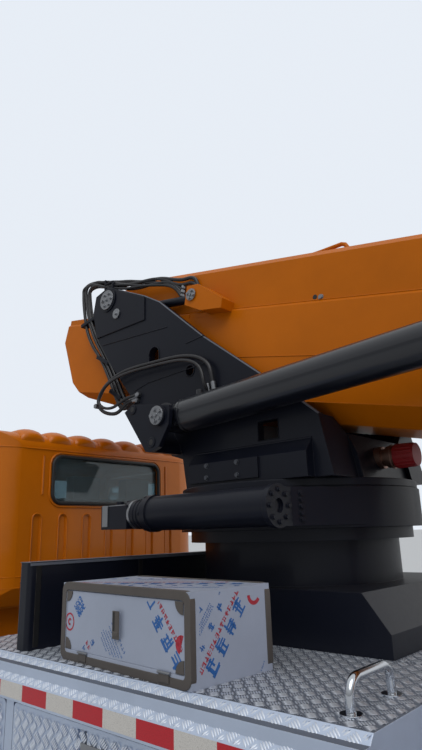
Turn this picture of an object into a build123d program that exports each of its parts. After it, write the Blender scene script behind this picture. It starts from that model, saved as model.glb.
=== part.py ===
from build123d import *
import os
from math import cos, sin, radians, hypot

# Truck-mounted cherry picker with a telescopic boom, in millimetres.
# +X points to the front of the truck, +Y to its left side and +Z up.
# The origin is on the ground at the centre of the whole vehicle.
os.makedirs("parts", exist_ok=True)

# Whole vehicle
TRUCK_LENGTH = 10190
TRUCK_WIDTH = 2400
BUMPER_FRONT_X = TRUCK_LENGTH / 2
BASKET_REAR_X = -TRUCK_LENGTH / 2
SLIDE_GAP = 0.3

# Wheels and axles
FRONT_AXLE_X = 3945
WHEELBASE = 5300
REAR_AXLE_X = FRONT_AXLE_X - WHEELBASE
TYRE_RADIUS = 425
TYRE_WIDTH = 225
RIM_RADIUS = 222
FRONT_WHEEL_Y = 800
KINGPIN_Y = 640
KINGPIN_RADIUS = 26
TWIN_OUTER_Y = 1000
TWIN_SPACING = 270
WHEEL_NUTS = 8
HAND_HOLES = 8

# Chassis
RAIL_OUTER_Y = 400
RAIL_FLANGE = 75
RAIL_WALL = 9
RAIL_BOTTOM = 500
RAIL_TOP = 720
FRAME_FRONT_X = BUMPER_FRONT_X - 135
FRAME_REAR_X = -3300
UNDERRUN_HALF = 1050
UNDERRUN_LOW = 420
SUBFRAME_TOP = 900

# Cab
CAB_REAR_X = 3445
CAB_FRONT_X = 5045
CAB_HALF_WIDTH = 900
CAB_ROOF_Z = 2217
CAB_FLOOR_Z = 900
CAB_REAR_SILL_Z = 1332
CAB_WALL = 42
PLAN_EASE = 2
CAB_REAR_CORNER = 290
CAB_FRONT_CORNER = 170
REAR_WINDOW_HALF = 430
REAR_WINDOW_LOW = 1800
REAR_WINDOW_HIGH = 2082
DOOR_GAP = 6
GLASS_THICKNESS = 6
DOOR_REAR_X = 3690
DOOR_FRONT_X = 4700
DOOR_LOW_Z = 1000
DOOR_HIGH_Z = 2100
DOOR_HINGE_Y = CAB_HALF_WIDTH + 14
DOOR_HINGE_LEVELS = (1070, 1450)

# Decks and lockers
DECK_TOP = 1185
DECK_FRONT_X = 2935
DECK_REAR_X = 1070
DECK_PLATE = 20
DECK_CHAMFER_Y = 70
DECK_CHAMFER_Z = 72
DECK_SKIRT_LOW = 1055
LOCKER_INNER_Y = 520
LOCKER_OUTER_Y = 1180
LOCKER_LOW = 560
LOCKER_WALL = 16
REAR_DECK_TOP = 930
REAR_DECK_HALF = 1150
REAR_DECK_END_X = FRAME_REAR_X
CABINET_REAR_X = 2517
CABINET_DEPTH = 75
CABINET_HALF = 1102
CABINET_TOP = 1506

# Pedestal and slewing drive
SLEW_X = 1980
PEDESTAL_HALF = 475
PEDESTAL_REAR_X = 1330
PEDESTAL_FRONT_X = 2420
PEDESTAL_STEP_Z = 1262
PEDESTAL_TOP = 1388
NECK_RADIUS = 450
FLANGE_RADIUS = 515
FLANGE_LOW = 1560
RING_RADIUS = 560
RING_LOW = 1607
RING_HIGH = 1765
TURNTABLE_RADIUS = 520
WORM_Y = 640
WORM_Z = 1690
WORM_RADIUS = 73

# Turret
TURRET_LOW = RING_HIGH + SLIDE_GAP
TURRET_FLOOR = 1800
PLATE_INNER_Y = 395
PLATE_THICKNESS = 40
PIVOT_X = 2926
PIVOT_Z = 2947
PIVOT_RADIUS = 50
PIN_CLEARANCE = 0.5
CYLINDER_Y = 527
CYLINDER_PIN_X = 2277
CYLINDER_PIN_Z = 2122
CYLINDER_PIN_RADIUS = 40
EAR_INNER_Y = 610
EAR_THICKNESS = 24

# Boom
BOOM_SLOPE = 12
BOOM_TOP_V = 150
BOOM_BOTTOM_V = -620
BOOM_CENTRE_V = -235
BOOM_HEAD_U = 6560
BOOM_WALL = 12
BOOM_SECTIONS = 6
SECTION_STEP = 38
HEAD_STEP = 75
COLLAR_LENGTH = 60
COLLAR_PROUD = 15
HINGE_U = 7190

# Cylinders
LIFT_BARREL_RADIUS = 78
LIFT_ROD_RADIUS = 50
LEVEL_RADIUS = 23
LEVEL_Y = 363

# Outriggers
FRONT_BEAM_X = 3190
REAR_BEAM_X = -2400
BEAM_WIDTH = 110
BEAM_HEIGHT = 150
BEAM_Z = 810
BEAM_LENGTH = 1950
HOUSING_WALL = 12
HOUSING_HALF_Y = 1015
JACK_Y = 1100
JACK_HALF = 70
JACK_CLEARANCE = 15
JACK_TOP = 1080
JACK_LOW = 400
FOOT_LOW = 300
FOOT_RADIUS = 95

# Basket
BASKET_FRONT_X = -4300
BASKET_HALF = 880
BASKET_FLOOR = 700
BASKET_HEIGHT = 1120
BASKET_TUBE = 40
SWIVEL_X = -4230


def block(x0, x1, y0, y1, z0, z1, mode=Mode.ADD):
    """Rectangular block between two corners of the current part."""
    with Locations(((x0 + x1) / 2, (y0 + y1) / 2, (z0 + z1) / 2)):
        Box(abs(x1 - x0), abs(y1 - y0), abs(z1 - z0), mode=mode)


def bar_x(y, z, radius, x0, x1, mode=Mode.ADD):
    """Round bar along X in the current part."""
    with Locations(Location(((x0 + x1) / 2, y, z), (0, 90, 0))):
        Cylinder(radius, abs(x1 - x0), mode=mode)


def bar_y(x, z, radius, y0, y1, mode=Mode.ADD):
    """Round bar along Y in the current part."""
    with Locations(Location((x, (y0 + y1) / 2, z), (90, 0, 0))):
        Cylinder(radius, abs(y1 - y0), mode=mode)


def bar_z(x, y, radius, z0, z1, mode=Mode.ADD):
    """Round bar along Z in the current part."""
    with Locations((x, y, (z0 + z1) / 2)):
        Cylinder(radius, abs(z1 - z0), mode=mode)


def outline(points):
    """Closed flat face through a list of corners."""
    with BuildSketch(Plane.XY) as face:
        with BuildLine():
            Polyline(*points, close=True)
        make_face()
    return face.sketch


def side_plane(y):
    """Plane in which a side outline is drawn as (x, z), its normal along +Y."""
    return Plane(origin=(0, y, 0), x_dir=(-1, 0, 0), z_dir=(0, 1, 0))


def side_face(points):
    """Side outline given as (x, z) corners, turned for side_plane."""
    return outline([(-x, z) for x, z in points])


# Chassis frame: two channel rails with cross members, body mounts and the front cross tube
with BuildPart() as chassis_frame:
    for side in (1, -1):
        y_out = side * RAIL_OUTER_Y
        y_in = side * (RAIL_OUTER_Y - RAIL_FLANGE)
        y_web = side * (RAIL_OUTER_Y - RAIL_WALL)
        block(FRAME_REAR_X, FRAME_FRONT_X, y_web, y_out, RAIL_BOTTOM, RAIL_TOP)
        block(FRAME_REAR_X, FRAME_FRONT_X, y_in, y_out, RAIL_BOTTOM, RAIL_BOTTOM + RAIL_WALL)
        block(FRAME_REAR_X, FRAME_FRONT_X, y_in, y_out, RAIL_TOP - RAIL_WALL, RAIL_TOP)
        # Cab mounts at the front and rear of the floor
        for mount_x in (CAB_REAR_X + 330, CAB_FRONT_X - 330):
            block(mount_x - 60, mount_x + 60, y_in, y_out, RAIL_TOP, CAB_FLOOR_Z)
    for member_x in (-3200, -2100, -300, 800, 2000, 3100, 4850):
        block(member_x - 40, member_x + 40, -RAIL_OUTER_Y + RAIL_WALL, RAIL_OUTER_Y - RAIL_WALL,
              RAIL_BOTTOM + 40, RAIL_TOP - 30)
    # Under-run bar welded below the rear ends of the rails
    block(FRAME_REAR_X, FRAME_REAR_X + 60, -UNDERRUN_HALF, UNDERRUN_HALF, UNDERRUN_LOW, RAIL_BOTTOM)
chassis_frame.part.label = "chassis_frame"
export_step(chassis_frame.part, "parts/chassis_frame.step")

# Subframe: box beams on the rails and the transverse housings of the outrigger beams
BEAM_PAIR_X = BEAM_WIDTH / 2 + HOUSING_WALL + 6
with BuildPart() as subframe:
    for side in (1, -1):
        y_out = side * RAIL_OUTER_Y
        y_in = side * (RAIL_OUTER_Y - RAIL_FLANGE)
        block(FRAME_REAR_X, FRONT_BEAM_X - 60, y_in, y_out, RAIL_TOP, SUBFRAME_TOP)
    for beam_x in (FRONT_BEAM_X, REAR_BEAM_X):
        half_x = 2 * BEAM_PAIR_X + 1
        block(beam_x - half_x, beam_x + half_x, -HOUSING_HALF_Y, HOUSING_HALF_Y,
              BEAM_Z - BEAM_HEIGHT / 2 - HOUSING_WALL - 3, BEAM_Z + BEAM_HEIGHT / 2 + HOUSING_WALL + 3)
    for beam_x in (FRONT_BEAM_X, REAR_BEAM_X):
        for side in (1, -1):
            centre = beam_x + side * BEAM_PAIR_X
            block(centre - BEAM_WIDTH / 2 - SLIDE_GAP, centre + BEAM_WIDTH / 2 + SLIDE_GAP,
                  -side * (BEAM_LENGTH - HOUSING_HALF_Y + 20), side * HOUSING_HALF_Y,
                  BEAM_Z - BEAM_HEIGHT / 2 - SLIDE_GAP, BEAM_Z + BEAM_HEIGHT / 2 + SLIDE_GAP,
                  mode=Mode.SUBTRACT)
subframe.part.label = "subframe"
export_step(subframe.part, "parts/subframe.step")

# Front axle: dropped beam, kingpin yokes and leaf springs hung under the rails
AXLE_Z = TYRE_RADIUS
SPRING_Y = RAIL_OUTER_Y - RAIL_FLANGE / 2
with BuildPart() as front_axle:
    block(FRONT_AXLE_X - 45, FRONT_AXLE_X + 45, -520, 520, 330, 410)
    for side in (1, -1):
        # Yoke: the beam turns up and ends in two jaws round the knuckle
        block(FRONT_AXLE_X - 45, FRONT_AXLE_X + 45, side * 500, side * 570, 330, 520)
        for low, high in ((330, 370), (480, 520)):
            block(FRONT_AXLE_X - 45, FRONT_AXLE_X + 45, side * 560, side * (KINGPIN_Y + 45), low, high)
        bar_z(FRONT_AXLE_X, side * KINGPIN_Y, KINGPIN_RADIUS, 330, 520)
        spring_y0 = side * (SPRING_Y - 32)
        spring_y1 = side * (SPRING_Y + 32)
        for leaf, half_length in enumerate((620, 460, 300)):
            block(FRONT_AXLE_X - half_length, FRONT_AXLE_X + half_length, spring_y0, spring_y1,
                  440 - 15 * leaf, 455 - 15 * leaf)
        for shackle_x in (FRONT_AXLE_X - 600, FRONT_AXLE_X + 600):
            block(shackle_x - 20, shackle_x + 20, spring_y0, spring_y1, 450, RAIL_BOTTOM)
front_axle.part.label = "front_axle"
export_step(front_axle.part, "parts/front_axle.step")

# Rear axle: banjo housing with brake drums and springs, and the propeller shaft from the engine
RIM_HALF = TYRE_WIDTH / 2 - 12
DISC_FACE = RIM_HALF - 40
DISC_THICKNESS = 16
TWIN_INNER_Y = TWIN_OUTER_Y - TWIN_SPACING
AXLE_END_Y = TWIN_INNER_Y + DISC_FACE - DISC_THICKNESS - SLIDE_GAP
DRUM_RADIUS = 165
DRUM_INNER_Y = 640
with BuildPart() as rear_axle:
    bar_y(REAR_AXLE_X, AXLE_Z, 62, -AXLE_END_Y, AXLE_END_Y)
    for side in (1, -1):
        bar_y(REAR_AXLE_X, AXLE_Z, DRUM_RADIUS, side * DRUM_INNER_Y, side * (TWIN_INNER_Y + RIM_HALF - 90))
    # Banjo casing round the crown wheel, domed to the rear
    with BuildSketch(Plane(origin=(REAR_AXLE_X, 0, AXLE_Z), x_dir=(0, 1, 0), z_dir=(0, 0, -1))):
        add(outline([(0, -138), (75, -138), (135, -95), (165, -52), (165, 56), (110, 92), (0, 92)]))
    revolve(axis=Axis((REAR_AXLE_X, 0, AXLE_Z), (1, 0, 0)))
    bar_x(0, AXLE_Z, 80, REAR_AXLE_X, REAR_AXLE_X + 300)
    for side in (1, -1):
        spring_y0 = side * (SPRING_Y - 35)
        spring_y1 = side * (SPRING_Y + 35)
        for leaf, half_length in enumerate((700, 520, 340)):
            block(REAR_AXLE_X - half_length, REAR_AXLE_X + half_length, spring_y0, spring_y1,
                  478 - 17 * leaf, 495 - 17 * leaf)
        for shackle_x in (REAR_AXLE_X - 680, REAR_AXLE_X + 680):
            block(shackle_x - 20, shackle_x + 20, spring_y0, spring_y1, 480, RAIL_BOTTOM)
    bar_x(0, AXLE_Z, 45, REAR_AXLE_X + 280, CAB_REAR_X + 115)
rear_axle.part.label = "rear_axle"
export_step(rear_axle.part, "parts/rear_axle.step")

# Engine and gearbox, one plain block between the rails under the cab
ENGINE_REAR_X = 3560
ENGINE_LENGTH = 1140
ENGINE_HALF_SECTION = [(0, 455), (150, 455), (280, 600), (280, 800), (200, 880), (0, 880)]
with BuildPart() as engine_block:
    with BuildSketch(Plane.YZ.offset(ENGINE_REAR_X)):
        add(outline(ENGINE_HALF_SECTION))
        mirror(about=Plane.YZ)
    extrude(amount=ENGINE_LENGTH)
    for side in (1, -1):
        block(4100, 4200, side * 250, side * (RAIL_OUTER_Y - RAIL_WALL), 600, 660)
engine_block.part.label = "engine_block"
export_step(engine_block.part, "parts/engine_block.step")

# Fuel tank on the left, hydraulic oil tank on the right, each hung on brackets at the rail
with BuildPart() as tanks:
    for side, tank_x0, tank_x1, tank_low in ((1, -250, 850, 480), (-1, 150, 950, 450)):
        with BuildSketch(Plane.YZ.offset(tank_x0)):
            with Locations((side * 760, (tank_low + 860) / 2)):
                RectangleRounded(540, 860 - tank_low, 90)
        extrude(amount=tank_x1 - tank_x0)
        for bracket_x in (tank_x0 + 200, tank_x1 - 200):
            block(bracket_x - 30, bracket_x + 30, side * RAIL_OUTER_Y, side * 500, 560, 680)
        bar_z(tank_x0 + 120, side * 900, 45, 850, 885)
tanks.part.label = "tanks"
export_step(tanks.part, "parts/tanks.step")

# Front deck: bent tread plate with sloped edges, end plates and hollow lockers on both sides
DECK_HALF = TRUCK_WIDTH / 2
DECK_PROFILE = [
    (0, DECK_TOP),
    (DECK_HALF - DECK_CHAMFER_Y, DECK_TOP),
    (DECK_HALF, DECK_TOP - DECK_CHAMFER_Z),
    (DECK_HALF, DECK_SKIRT_LOW),
    (DECK_HALF - DECK_PLATE, DECK_SKIRT_LOW),
    (DECK_HALF - DECK_PLATE, DECK_TOP - DECK_CHAMFER_Z - 8),
    (DECK_HALF - DECK_CHAMFER_Y - 8, DECK_TOP - DECK_PLATE),
    (0, DECK_TOP - DECK_PLATE),
]
LOCKER_CUTS = ((1500, 2440), (2490, 2900))
LOCKER_TOP = DECK_TOP - DECK_PLATE
with BuildPart() as front_deck:
    with BuildSketch(Plane.YZ.offset(DECK_REAR_X)):
        add(outline(DECK_PROFILE))
        mirror(about=Plane.YZ)
    extrude(amount=DECK_FRONT_X - DECK_REAR_X)
    block(PEDESTAL_REAR_X - SLIDE_GAP, PEDESTAL_FRONT_X + SLIDE_GAP,
          -PEDESTAL_HALF - SLIDE_GAP, PEDESTAL_HALF + SLIDE_GAP,
          LOCKER_TOP - 5, DECK_TOP + 5, mode=Mode.SUBTRACT)
    for side in (1, -1):
        block(DECK_REAR_X, DECK_FRONT_X, side * LOCKER_INNER_Y, side * LOCKER_OUTER_Y,
              LOCKER_LOW, LOCKER_TOP)
        for cut_x0, cut_x1 in LOCKER_CUTS:
            block(cut_x0, cut_x1, side * (LOCKER_INNER_Y + LOCKER_WALL), side * LOCKER_OUTER_Y,
                  LOCKER_LOW + LOCKER_WALL, DECK_SKIRT_LOW - 6, mode=Mode.SUBTRACT)
        # Rails under the deck that carry the lockers on the subframe
        for bearer_x in (1110, 1290, 2470, 2880):
            block(bearer_x - 30, bearer_x + 30, side * (RAIL_OUTER_Y - RAIL_FLANGE),
                  side * LOCKER_INNER_Y, SUBFRAME_TOP, LOCKER_TOP)
front_deck.part.label = "front_deck"
export_step(front_deck.part, "parts/front_deck.step")

# Locker doors: flat tread plate doors, each hinged at its lower edge and held by one latch
LOCKER_DOOR_THICKNESS = 24
for side, side_name in ((1, "left"), (-1, "right")):
    for (cut_x0, cut_x1), place in zip(LOCKER_CUTS, ("rear", "front")):
        with BuildPart() as locker_door:
            y_face = side * LOCKER_OUTER_Y
            block(cut_x0 + 4, cut_x1 - 4, y_face, y_face - side * LOCKER_DOOR_THICKNESS,
                  LOCKER_LOW + LOCKER_WALL + SLIDE_GAP, DECK_SKIRT_LOW - 10)
            fillet(locker_door.edges().filter_by(Axis.Y), radius=20)
            # Recessed folding latch
            latch_x = (cut_x0 + cut_x1) / 2 + 60
            block(latch_x - 25, latch_x + 25, y_face, y_face - side * 12, 930, 1030, mode=Mode.SUBTRACT)
            bar_z(latch_x, y_face - side * 4, 7, 930, 1030)
        locker_door.part.label = f"locker_door_{place}_{side_name}"
        export_step(locker_door.part, f"parts/locker_door_{place}_{side_name}.step")

# Rear deck: lower tread plate floor over the wheels, with skirts, mudguard flaps and the boom rest
SLOPE_COS = cos(radians(BOOM_SLOPE))
SLOPE_SIN = sin(radians(BOOM_SLOPE))
REST_X = -2950
REST_HALF = 250
REST_DEPTH = 100
REST_GAP = 8
FLAP_REACH = 560
FLAP_THICKNESS = 12


def boom_point(u, v):
    """World (x, z) of a point given in the boom's own u and v."""
    return PIVOT_X - SLOPE_COS * u - SLOPE_SIN * v, PIVOT_Z - SLOPE_SIN * u + SLOPE_COS * v


def boom_underside(x):
    """Height of the stowed boom's flat underside at a world X."""
    u = (PIVOT_X - SLOPE_SIN * BOOM_BOTTOM_V - x) / SLOPE_COS
    return boom_point(u, BOOM_BOTTOM_V)[1]


with BuildPart() as rear_deck:
    block(REAR_DECK_END_X, DECK_REAR_X, -REAR_DECK_HALF, REAR_DECK_HALF,
          SUBFRAME_TOP, REAR_DECK_TOP)
    for side in (1, -1):
        # Skirt along the edge, open over the wheels
        for skirt_x0, skirt_x1 in ((REAR_DECK_END_X, REAR_AXLE_X - FLAP_REACH),
                                   (REAR_AXLE_X + FLAP_REACH, DECK_REAR_X)):
            block(skirt_x0, skirt_x1, side * (REAR_DECK_HALF - 20), side * REAR_DECK_HALF,
                  SUBFRAME_TOP - 60, REAR_DECK_TOP)
        # Mudguard flaps before and behind the twin wheels
        for flap_x in (REAR_AXLE_X - FLAP_REACH, REAR_AXLE_X + FLAP_REACH - FLAP_THICKNESS):
            block(flap_x, flap_x + FLAP_THICKNESS, side * 600, side * REAR_DECK_HALF, 360, SUBFRAME_TOP)
        # Notch through which the jack stands, open at the edge so that the beam can slide out
        jack_x = REAR_BEAM_X + side * BEAM_PAIR_X
        block(jack_x - JACK_HALF - JACK_CLEARANCE, jack_x + JACK_HALF + JACK_CLEARANCE,
              side * (JACK_Y - JACK_HALF - JACK_CLEARANCE), side * (REAR_DECK_HALF + 10),
              SUBFRAME_TOP - 70, REAR_DECK_TOP + 10, mode=Mode.SUBTRACT)
    # Boom rest, its top sloped like the stowed boom's underside
    with BuildSketch(side_plane(-REST_HALF)):
        add(side_face([
            (REST_X - REST_DEPTH / 2 - 25, REAR_DECK_TOP),
            (REST_X - REST_DEPTH / 2, boom_underside(REST_X - REST_DEPTH / 2) - REST_GAP),
            (REST_X + REST_DEPTH / 2, boom_underside(REST_X + REST_DEPTH / 2) - REST_GAP),
            (REST_X + REST_DEPTH / 2 + 25, REAR_DECK_TOP),
        ]))
    extrude(amount=2 * REST_HALF)
rear_deck.part.label = "rear_deck"
export_step(rear_deck.part, "parts/rear_deck.step")

# Cross cabinet: slim black steel screen behind the cab, standing on the front deck
with BuildPart() as cross_cabinet:
    block(CABINET_REAR_X, CABINET_REAR_X + CABINET_DEPTH, -CABINET_HALF, CABINET_HALF,
          DECK_TOP, CABINET_TOP)
    fillet(cross_cabinet.edges().filter_by(Axis.Z), radius=18)
cross_cabinet.part.label = "cross_cabinet"
export_step(cross_cabinet.part, "parts/cross_cabinet.step")

# Pedestal: welded base block with a sloped rear, the round neck and its top flange
with BuildPart() as pedestal:
    with BuildSketch(side_plane(-PEDESTAL_HALF)):
        add(side_face([
            (PEDESTAL_REAR_X, SUBFRAME_TOP),
            (PEDESTAL_REAR_X, PEDESTAL_STEP_Z),
            (PEDESTAL_REAR_X + 95, PEDESTAL_TOP),
            (PEDESTAL_FRONT_X, PEDESTAL_TOP),
            (PEDESTAL_FRONT_X, SUBFRAME_TOP),
        ]))
    extrude(amount=2 * PEDESTAL_HALF)
    bar_z(SLEW_X, 0, NECK_RADIUS, PEDESTAL_TOP, FLANGE_LOW)
    bar_z(SLEW_X, 0, FLANGE_RADIUS, FLANGE_LOW, RING_LOW)
pedestal.part.label = "pedestal"
export_step(pedestal.part, "parts/pedestal.step")

# Slewing drive: ring housing bolted on the pedestal, with its worm tube and motor on the left
WORM_REAR_X = 1630
WORM_FRONT_X = 2295
WORM_DISC_RADIUS = 80
WORM_DISC_DEPTH = 22
# Housing between ring and worm, seen from above as (x, y): it leaves the ring as a tangent
WORM_HOUSING = [
    (WORM_REAR_X, 561),
    (1476, 244),
    (1600, 150),
    (WORM_FRONT_X - 60, 300),
    (WORM_FRONT_X - 60, WORM_Y),
    (WORM_REAR_X, WORM_Y),
]
with BuildPart() as slew_drive:
    bar_z(SLEW_X, 0, RING_RADIUS, RING_LOW, RING_HIGH)
    bar_x(WORM_Y, WORM_Z, WORM_RADIUS, WORM_REAR_X, WORM_FRONT_X)
    bar_x(WORM_Y, WORM_Z, WORM_DISC_RADIUS, WORM_REAR_X, WORM_REAR_X + WORM_DISC_DEPTH)
    with BuildSketch(Plane.XY.offset(RING_LOW + 10)):
        add(outline(WORM_HOUSING))
    extrude(amount=RING_HIGH - RING_LOW - 15)
    bar_x(WORM_Y, WORM_Z, 79, WORM_FRONT_X - 12, WORM_FRONT_X + 22)
    bar_x(WORM_Y, WORM_Z, 62, WORM_FRONT_X, WORM_FRONT_X + 150)
    block(WORM_FRONT_X + 120, WORM_FRONT_X + 300, WORM_Y - 62, WORM_Y + 62, WORM_Z - 62, WORM_Z + 40)
    bar_x(WORM_Y, WORM_Z, 26, WORM_REAR_X - 5, WORM_REAR_X + 12, mode=Mode.SUBTRACT)
slew_drive.part.label = "slew_drive"
export_step(slew_drive.part, "parts/slew_drive.step")

# Turret: two side plates on a turntable, cross webs, cylinder ears, boom pin and cylinder pins
TURRET_PLATE = [
    (2300, TURRET_FLOOR),
    (1514, TURRET_FLOOR),
    (1563, 2048),
    (1665, 2132),
    (2179, 2532),
    (2488, 2806),
    (2611, 2879),
    (2840, 2990),
    (2926, 3040),
    (3050, 3010),
    (3074, 2900),
    (3013, 2706),
    (2932, 2588),
    (2721, 2330),
    (2440, 1985),
    (2330, 1985),
]
EAR_PLATE = [
    (2461, 2205),
    (2211, 2162),
    (2206, 2143),
    (2215, 2071),
    (2278, 1980),
    (2339, 1962),
    (2366, 1967),
    (2521, 2175),
]
GUSSET = [
    (2461, 2205),
    (2521, 2175),
    (2366, 1967),
    (2339, 1967),
    (2339, 2010),
    (2430, 2150),
]
PLATE_OUTER_Y = PLATE_INNER_Y + PLATE_THICKNESS
REAR_NOTCH_HALF = 385
PORT_Y = 5
PORT_Z = 1897
PORT_STEPS = ((47, 1508, 1545), (36, 1488, 1508), (46, 1405, 1488))
with BuildPart() as turret:
    bar_z(SLEW_X, 0, TURNTABLE_RADIUS, TURRET_LOW, TURRET_FLOOR)
    for side in (1, -1):
        y_start = PLATE_INNER_Y if side > 0 else -PLATE_OUTER_Y
        with BuildSketch(side_plane(y_start)):
            add(side_face(TURRET_PLATE))
        extrude(amount=PLATE_THICKNESS)
        ear_start = EAR_INNER_Y if side > 0 else -EAR_INNER_Y - EAR_THICKNESS
        with BuildSketch(side_plane(ear_start)):
            add(side_face(EAR_PLATE))
        extrude(amount=EAR_THICKNESS)
        gusset_start = PLATE_OUTER_Y if side > 0 else -EAR_INNER_Y
        with BuildSketch(side_plane(gusset_start)):
            add(side_face(GUSSET))
        extrude(amount=EAR_INNER_Y - PLATE_OUTER_Y)
        # Openings in the side plate: slot, round and square
        for hole_x, hole_z, hole_r in ((2528, 2519, 38), (2528, 2493, 38), (2265, 2372, 26)):
            bar_y(hole_x, hole_z, hole_r, side * PLATE_INNER_Y, side * PLATE_OUTER_Y, mode=Mode.SUBTRACT)
        block(1762, 1864, side * PLATE_INNER_Y, side * PLATE_OUTER_Y, 1975, 2055, mode=Mode.SUBTRACT)
        # Low gusset box along the foot of the plate
        with BuildSketch(Plane.YZ.offset(1600)):
            add(outline([
                (side * PLATE_OUTER_Y, TURRET_FLOOR),
                (side * (PLATE_OUTER_Y + 50), TURRET_FLOOR),
                (side * (PLATE_OUTER_Y + 50), 1900),
                (side * PLATE_OUTER_Y, 1955),
            ]))
        extrude(amount=640)
        # Step plate on the gusset
        block(1832, 2222, side * (PLATE_OUTER_Y + 50), side * (PLATE_OUTER_Y + 60), 1815, 1900)
        # Cylinder pin between the plate and the ear, and its cap
        bar_y(CYLINDER_PIN_X, CYLINDER_PIN_Z, CYLINDER_PIN_RADIUS,
              side * PLATE_OUTER_Y, side * (EAR_INNER_Y + EAR_THICKNESS))
        bar_y(CYLINDER_PIN_X, CYLINDER_PIN_Z, CYLINDER_PIN_RADIUS + 8,
              side * (EAR_INNER_Y + EAR_THICKNESS), side * (EAR_INNER_Y + EAR_THICKNESS + 12))
        # Cap of the boom pin
        bar_y(PIVOT_X, PIVOT_Z, PIVOT_RADIUS + 22, side * PLATE_OUTER_Y, side * (PLATE_OUTER_Y + 14))
    # Boom pin across both plates
    bar_y(PIVOT_X, PIVOT_Z, PIVOT_RADIUS, -PLATE_OUTER_Y, PLATE_OUTER_Y)
    # Cross webs: front plate, rear plate and the floor box
    block(2290, 2330, -PLATE_INNER_Y, PLATE_INNER_Y, TURRET_FLOOR, 1985)
    with BuildSketch(side_plane(-PLATE_INNER_Y)):
        add(side_face([(2330, 1940), (2440, 1975), (2540, 2100), (2520, 2116), (2425, 2000), (2330, 1965)]))
    extrude(amount=2 * PLATE_INNER_Y)
    with BuildSketch(side_plane(-PLATE_INNER_Y)):
        add(side_face([(1514, TURRET_FLOOR), (1563, 2048), (1590, 2048), (1545, TURRET_FLOOR)]))
    extrude(amount=2 * PLATE_INNER_Y)
    # The rear plate is cut lower where the stowed boom lies
    with BuildSketch(Plane.YZ.offset(1480)):
        add(outline([(-245, 1985), (245, 1985), (REAR_NOTCH_HALF, 2100), (-REAR_NOTCH_HALF, 2100)]))
    extrude(amount=140, mode=Mode.SUBTRACT)
    # Upright ribs on the rear plate
    for rib_y in (-235, 235):
        with BuildSketch(side_plane(rib_y - 6)):
            add(side_face([(1494, TURRET_FLOOR), (1512, 1900), (1551, 1985), (1560, 1985), (1530, TURRET_FLOOR)]))
        extrude(amount=12)
    # Capped hose fitting on the rear plate: flange, collar and cap
    for radius, x0, x1 in PORT_STEPS:
        bar_x(PORT_Y, PORT_Z, radius, x0, x1)
turret.part.label = "turret"
export_step(turret.part, "parts/turret.step")

# Boom frame: u runs along the boom from its pivot to its head, v is square to it and up


def boom_plane(u):
    """Plane square to the boom at u: its x runs along -Y and its y along v."""
    x, z = boom_point(u, 0)
    return Plane(origin=(x, 0, z), x_dir=(0, -1, 0), z_dir=(-SLOPE_COS, 0, -SLOPE_SIN))


def boom_side_plane(y):
    """Plane along the boom at a Y: a side outline is drawn as (u, v)."""
    return Plane(origin=(PIVOT_X, y, PIVOT_Z), x_dir=(-SLOPE_COS, 0, -SLOPE_SIN), z_dir=(0, 1, 0))


# Right half of the boom's section as (y, v): flat top, upright web, ledge, leaning web, keel
BOOM_WEB_Y = 322
BOOM_HALF_SECTION = [
    (BOOM_WEB_Y - 30, BOOM_TOP_V),
    (BOOM_WEB_Y, BOOM_TOP_V - 30),
    (BOOM_WEB_Y, -90),
    (BOOM_WEB_Y + 12, -104),
    (BOOM_WEB_Y + 40, -545),
    (240, BOOM_BOTTOM_V),
]
# Side outline of the boom as (u, v): the tail is cut round the pivot
BOOM_SIDE = [
    (BOOM_HEAD_U, BOOM_TOP_V + 20),
    (330, BOOM_TOP_V + 20),
    (200, 110),
    (60, 100),
    (-60, 95),
    (-130, -50),
    (-555, -60),
    (-558, -218),
    (-363, -487),
    (-228, -573),
    (-36, -600),
    (143, BOOM_BOTTOM_V - 10),
    (BOOM_HEAD_U, BOOM_BOTTOM_V - 10),
]


def boom_face(inset):
    """Boom section, moved in by a distance all round."""
    corners = BOOM_HALF_SECTION + [(-y, v) for y, v in reversed(BOOM_HALF_SECTION)]
    with BuildSketch(Plane.XY) as face:
        add(outline(corners))
        if inset != 0:
            offset(amount=-inset, kind=Kind.INTERSECTION, mode=Mode.REPLACE)
    return face.sketch


def boom_side_face(inset):
    """Boom side outline, moved in by a distance all round."""
    with BuildSketch(Plane.XY) as face:
        add(outline(BOOM_SIDE))
        if inset > 0:
            offset(amount=-inset, kind=Kind.INTERSECTION, mode=Mode.REPLACE)
    return face.sketch


def boom_solid(inset):
    """Closed boom form, moved in by a distance all round."""
    with BuildPart() as form:
        with BuildSketch(boom_plane(-700)):
            add(boom_face(inset))
        extrude(amount=BOOM_HEAD_U + 700)
        with BuildSketch(boom_side_plane(-500)):
            add(boom_side_face(inset))
        extrude(amount=1000, mode=Mode.INTERSECT)
    return form.part


def section_inset(index):
    """How far the outside of a telescopic section lies inside the base section."""
    return index * SECTION_STEP


def section_head(index):
    """Where a telescopic section ends along u, its collar included."""
    return BOOM_HEAD_U + index * HEAD_STEP


def collar_solid(index, wall_inset):
    """Head collar of a section: it stands proud and closes the gap to the next section."""
    with BuildPart() as collar:
        with BuildSketch(boom_plane(section_head(index) - COLLAR_LENGTH)):
            add(boom_face(section_inset(index) - COLLAR_PROUD))
            add(boom_face(wall_inset), mode=Mode.SUBTRACT)
        extrude(amount=COLLAR_LENGTH)
    return collar.part


EYE_U = 3023
EYE_V = -62
BRACKET_U = 684
BRACKET_V = -25
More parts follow.
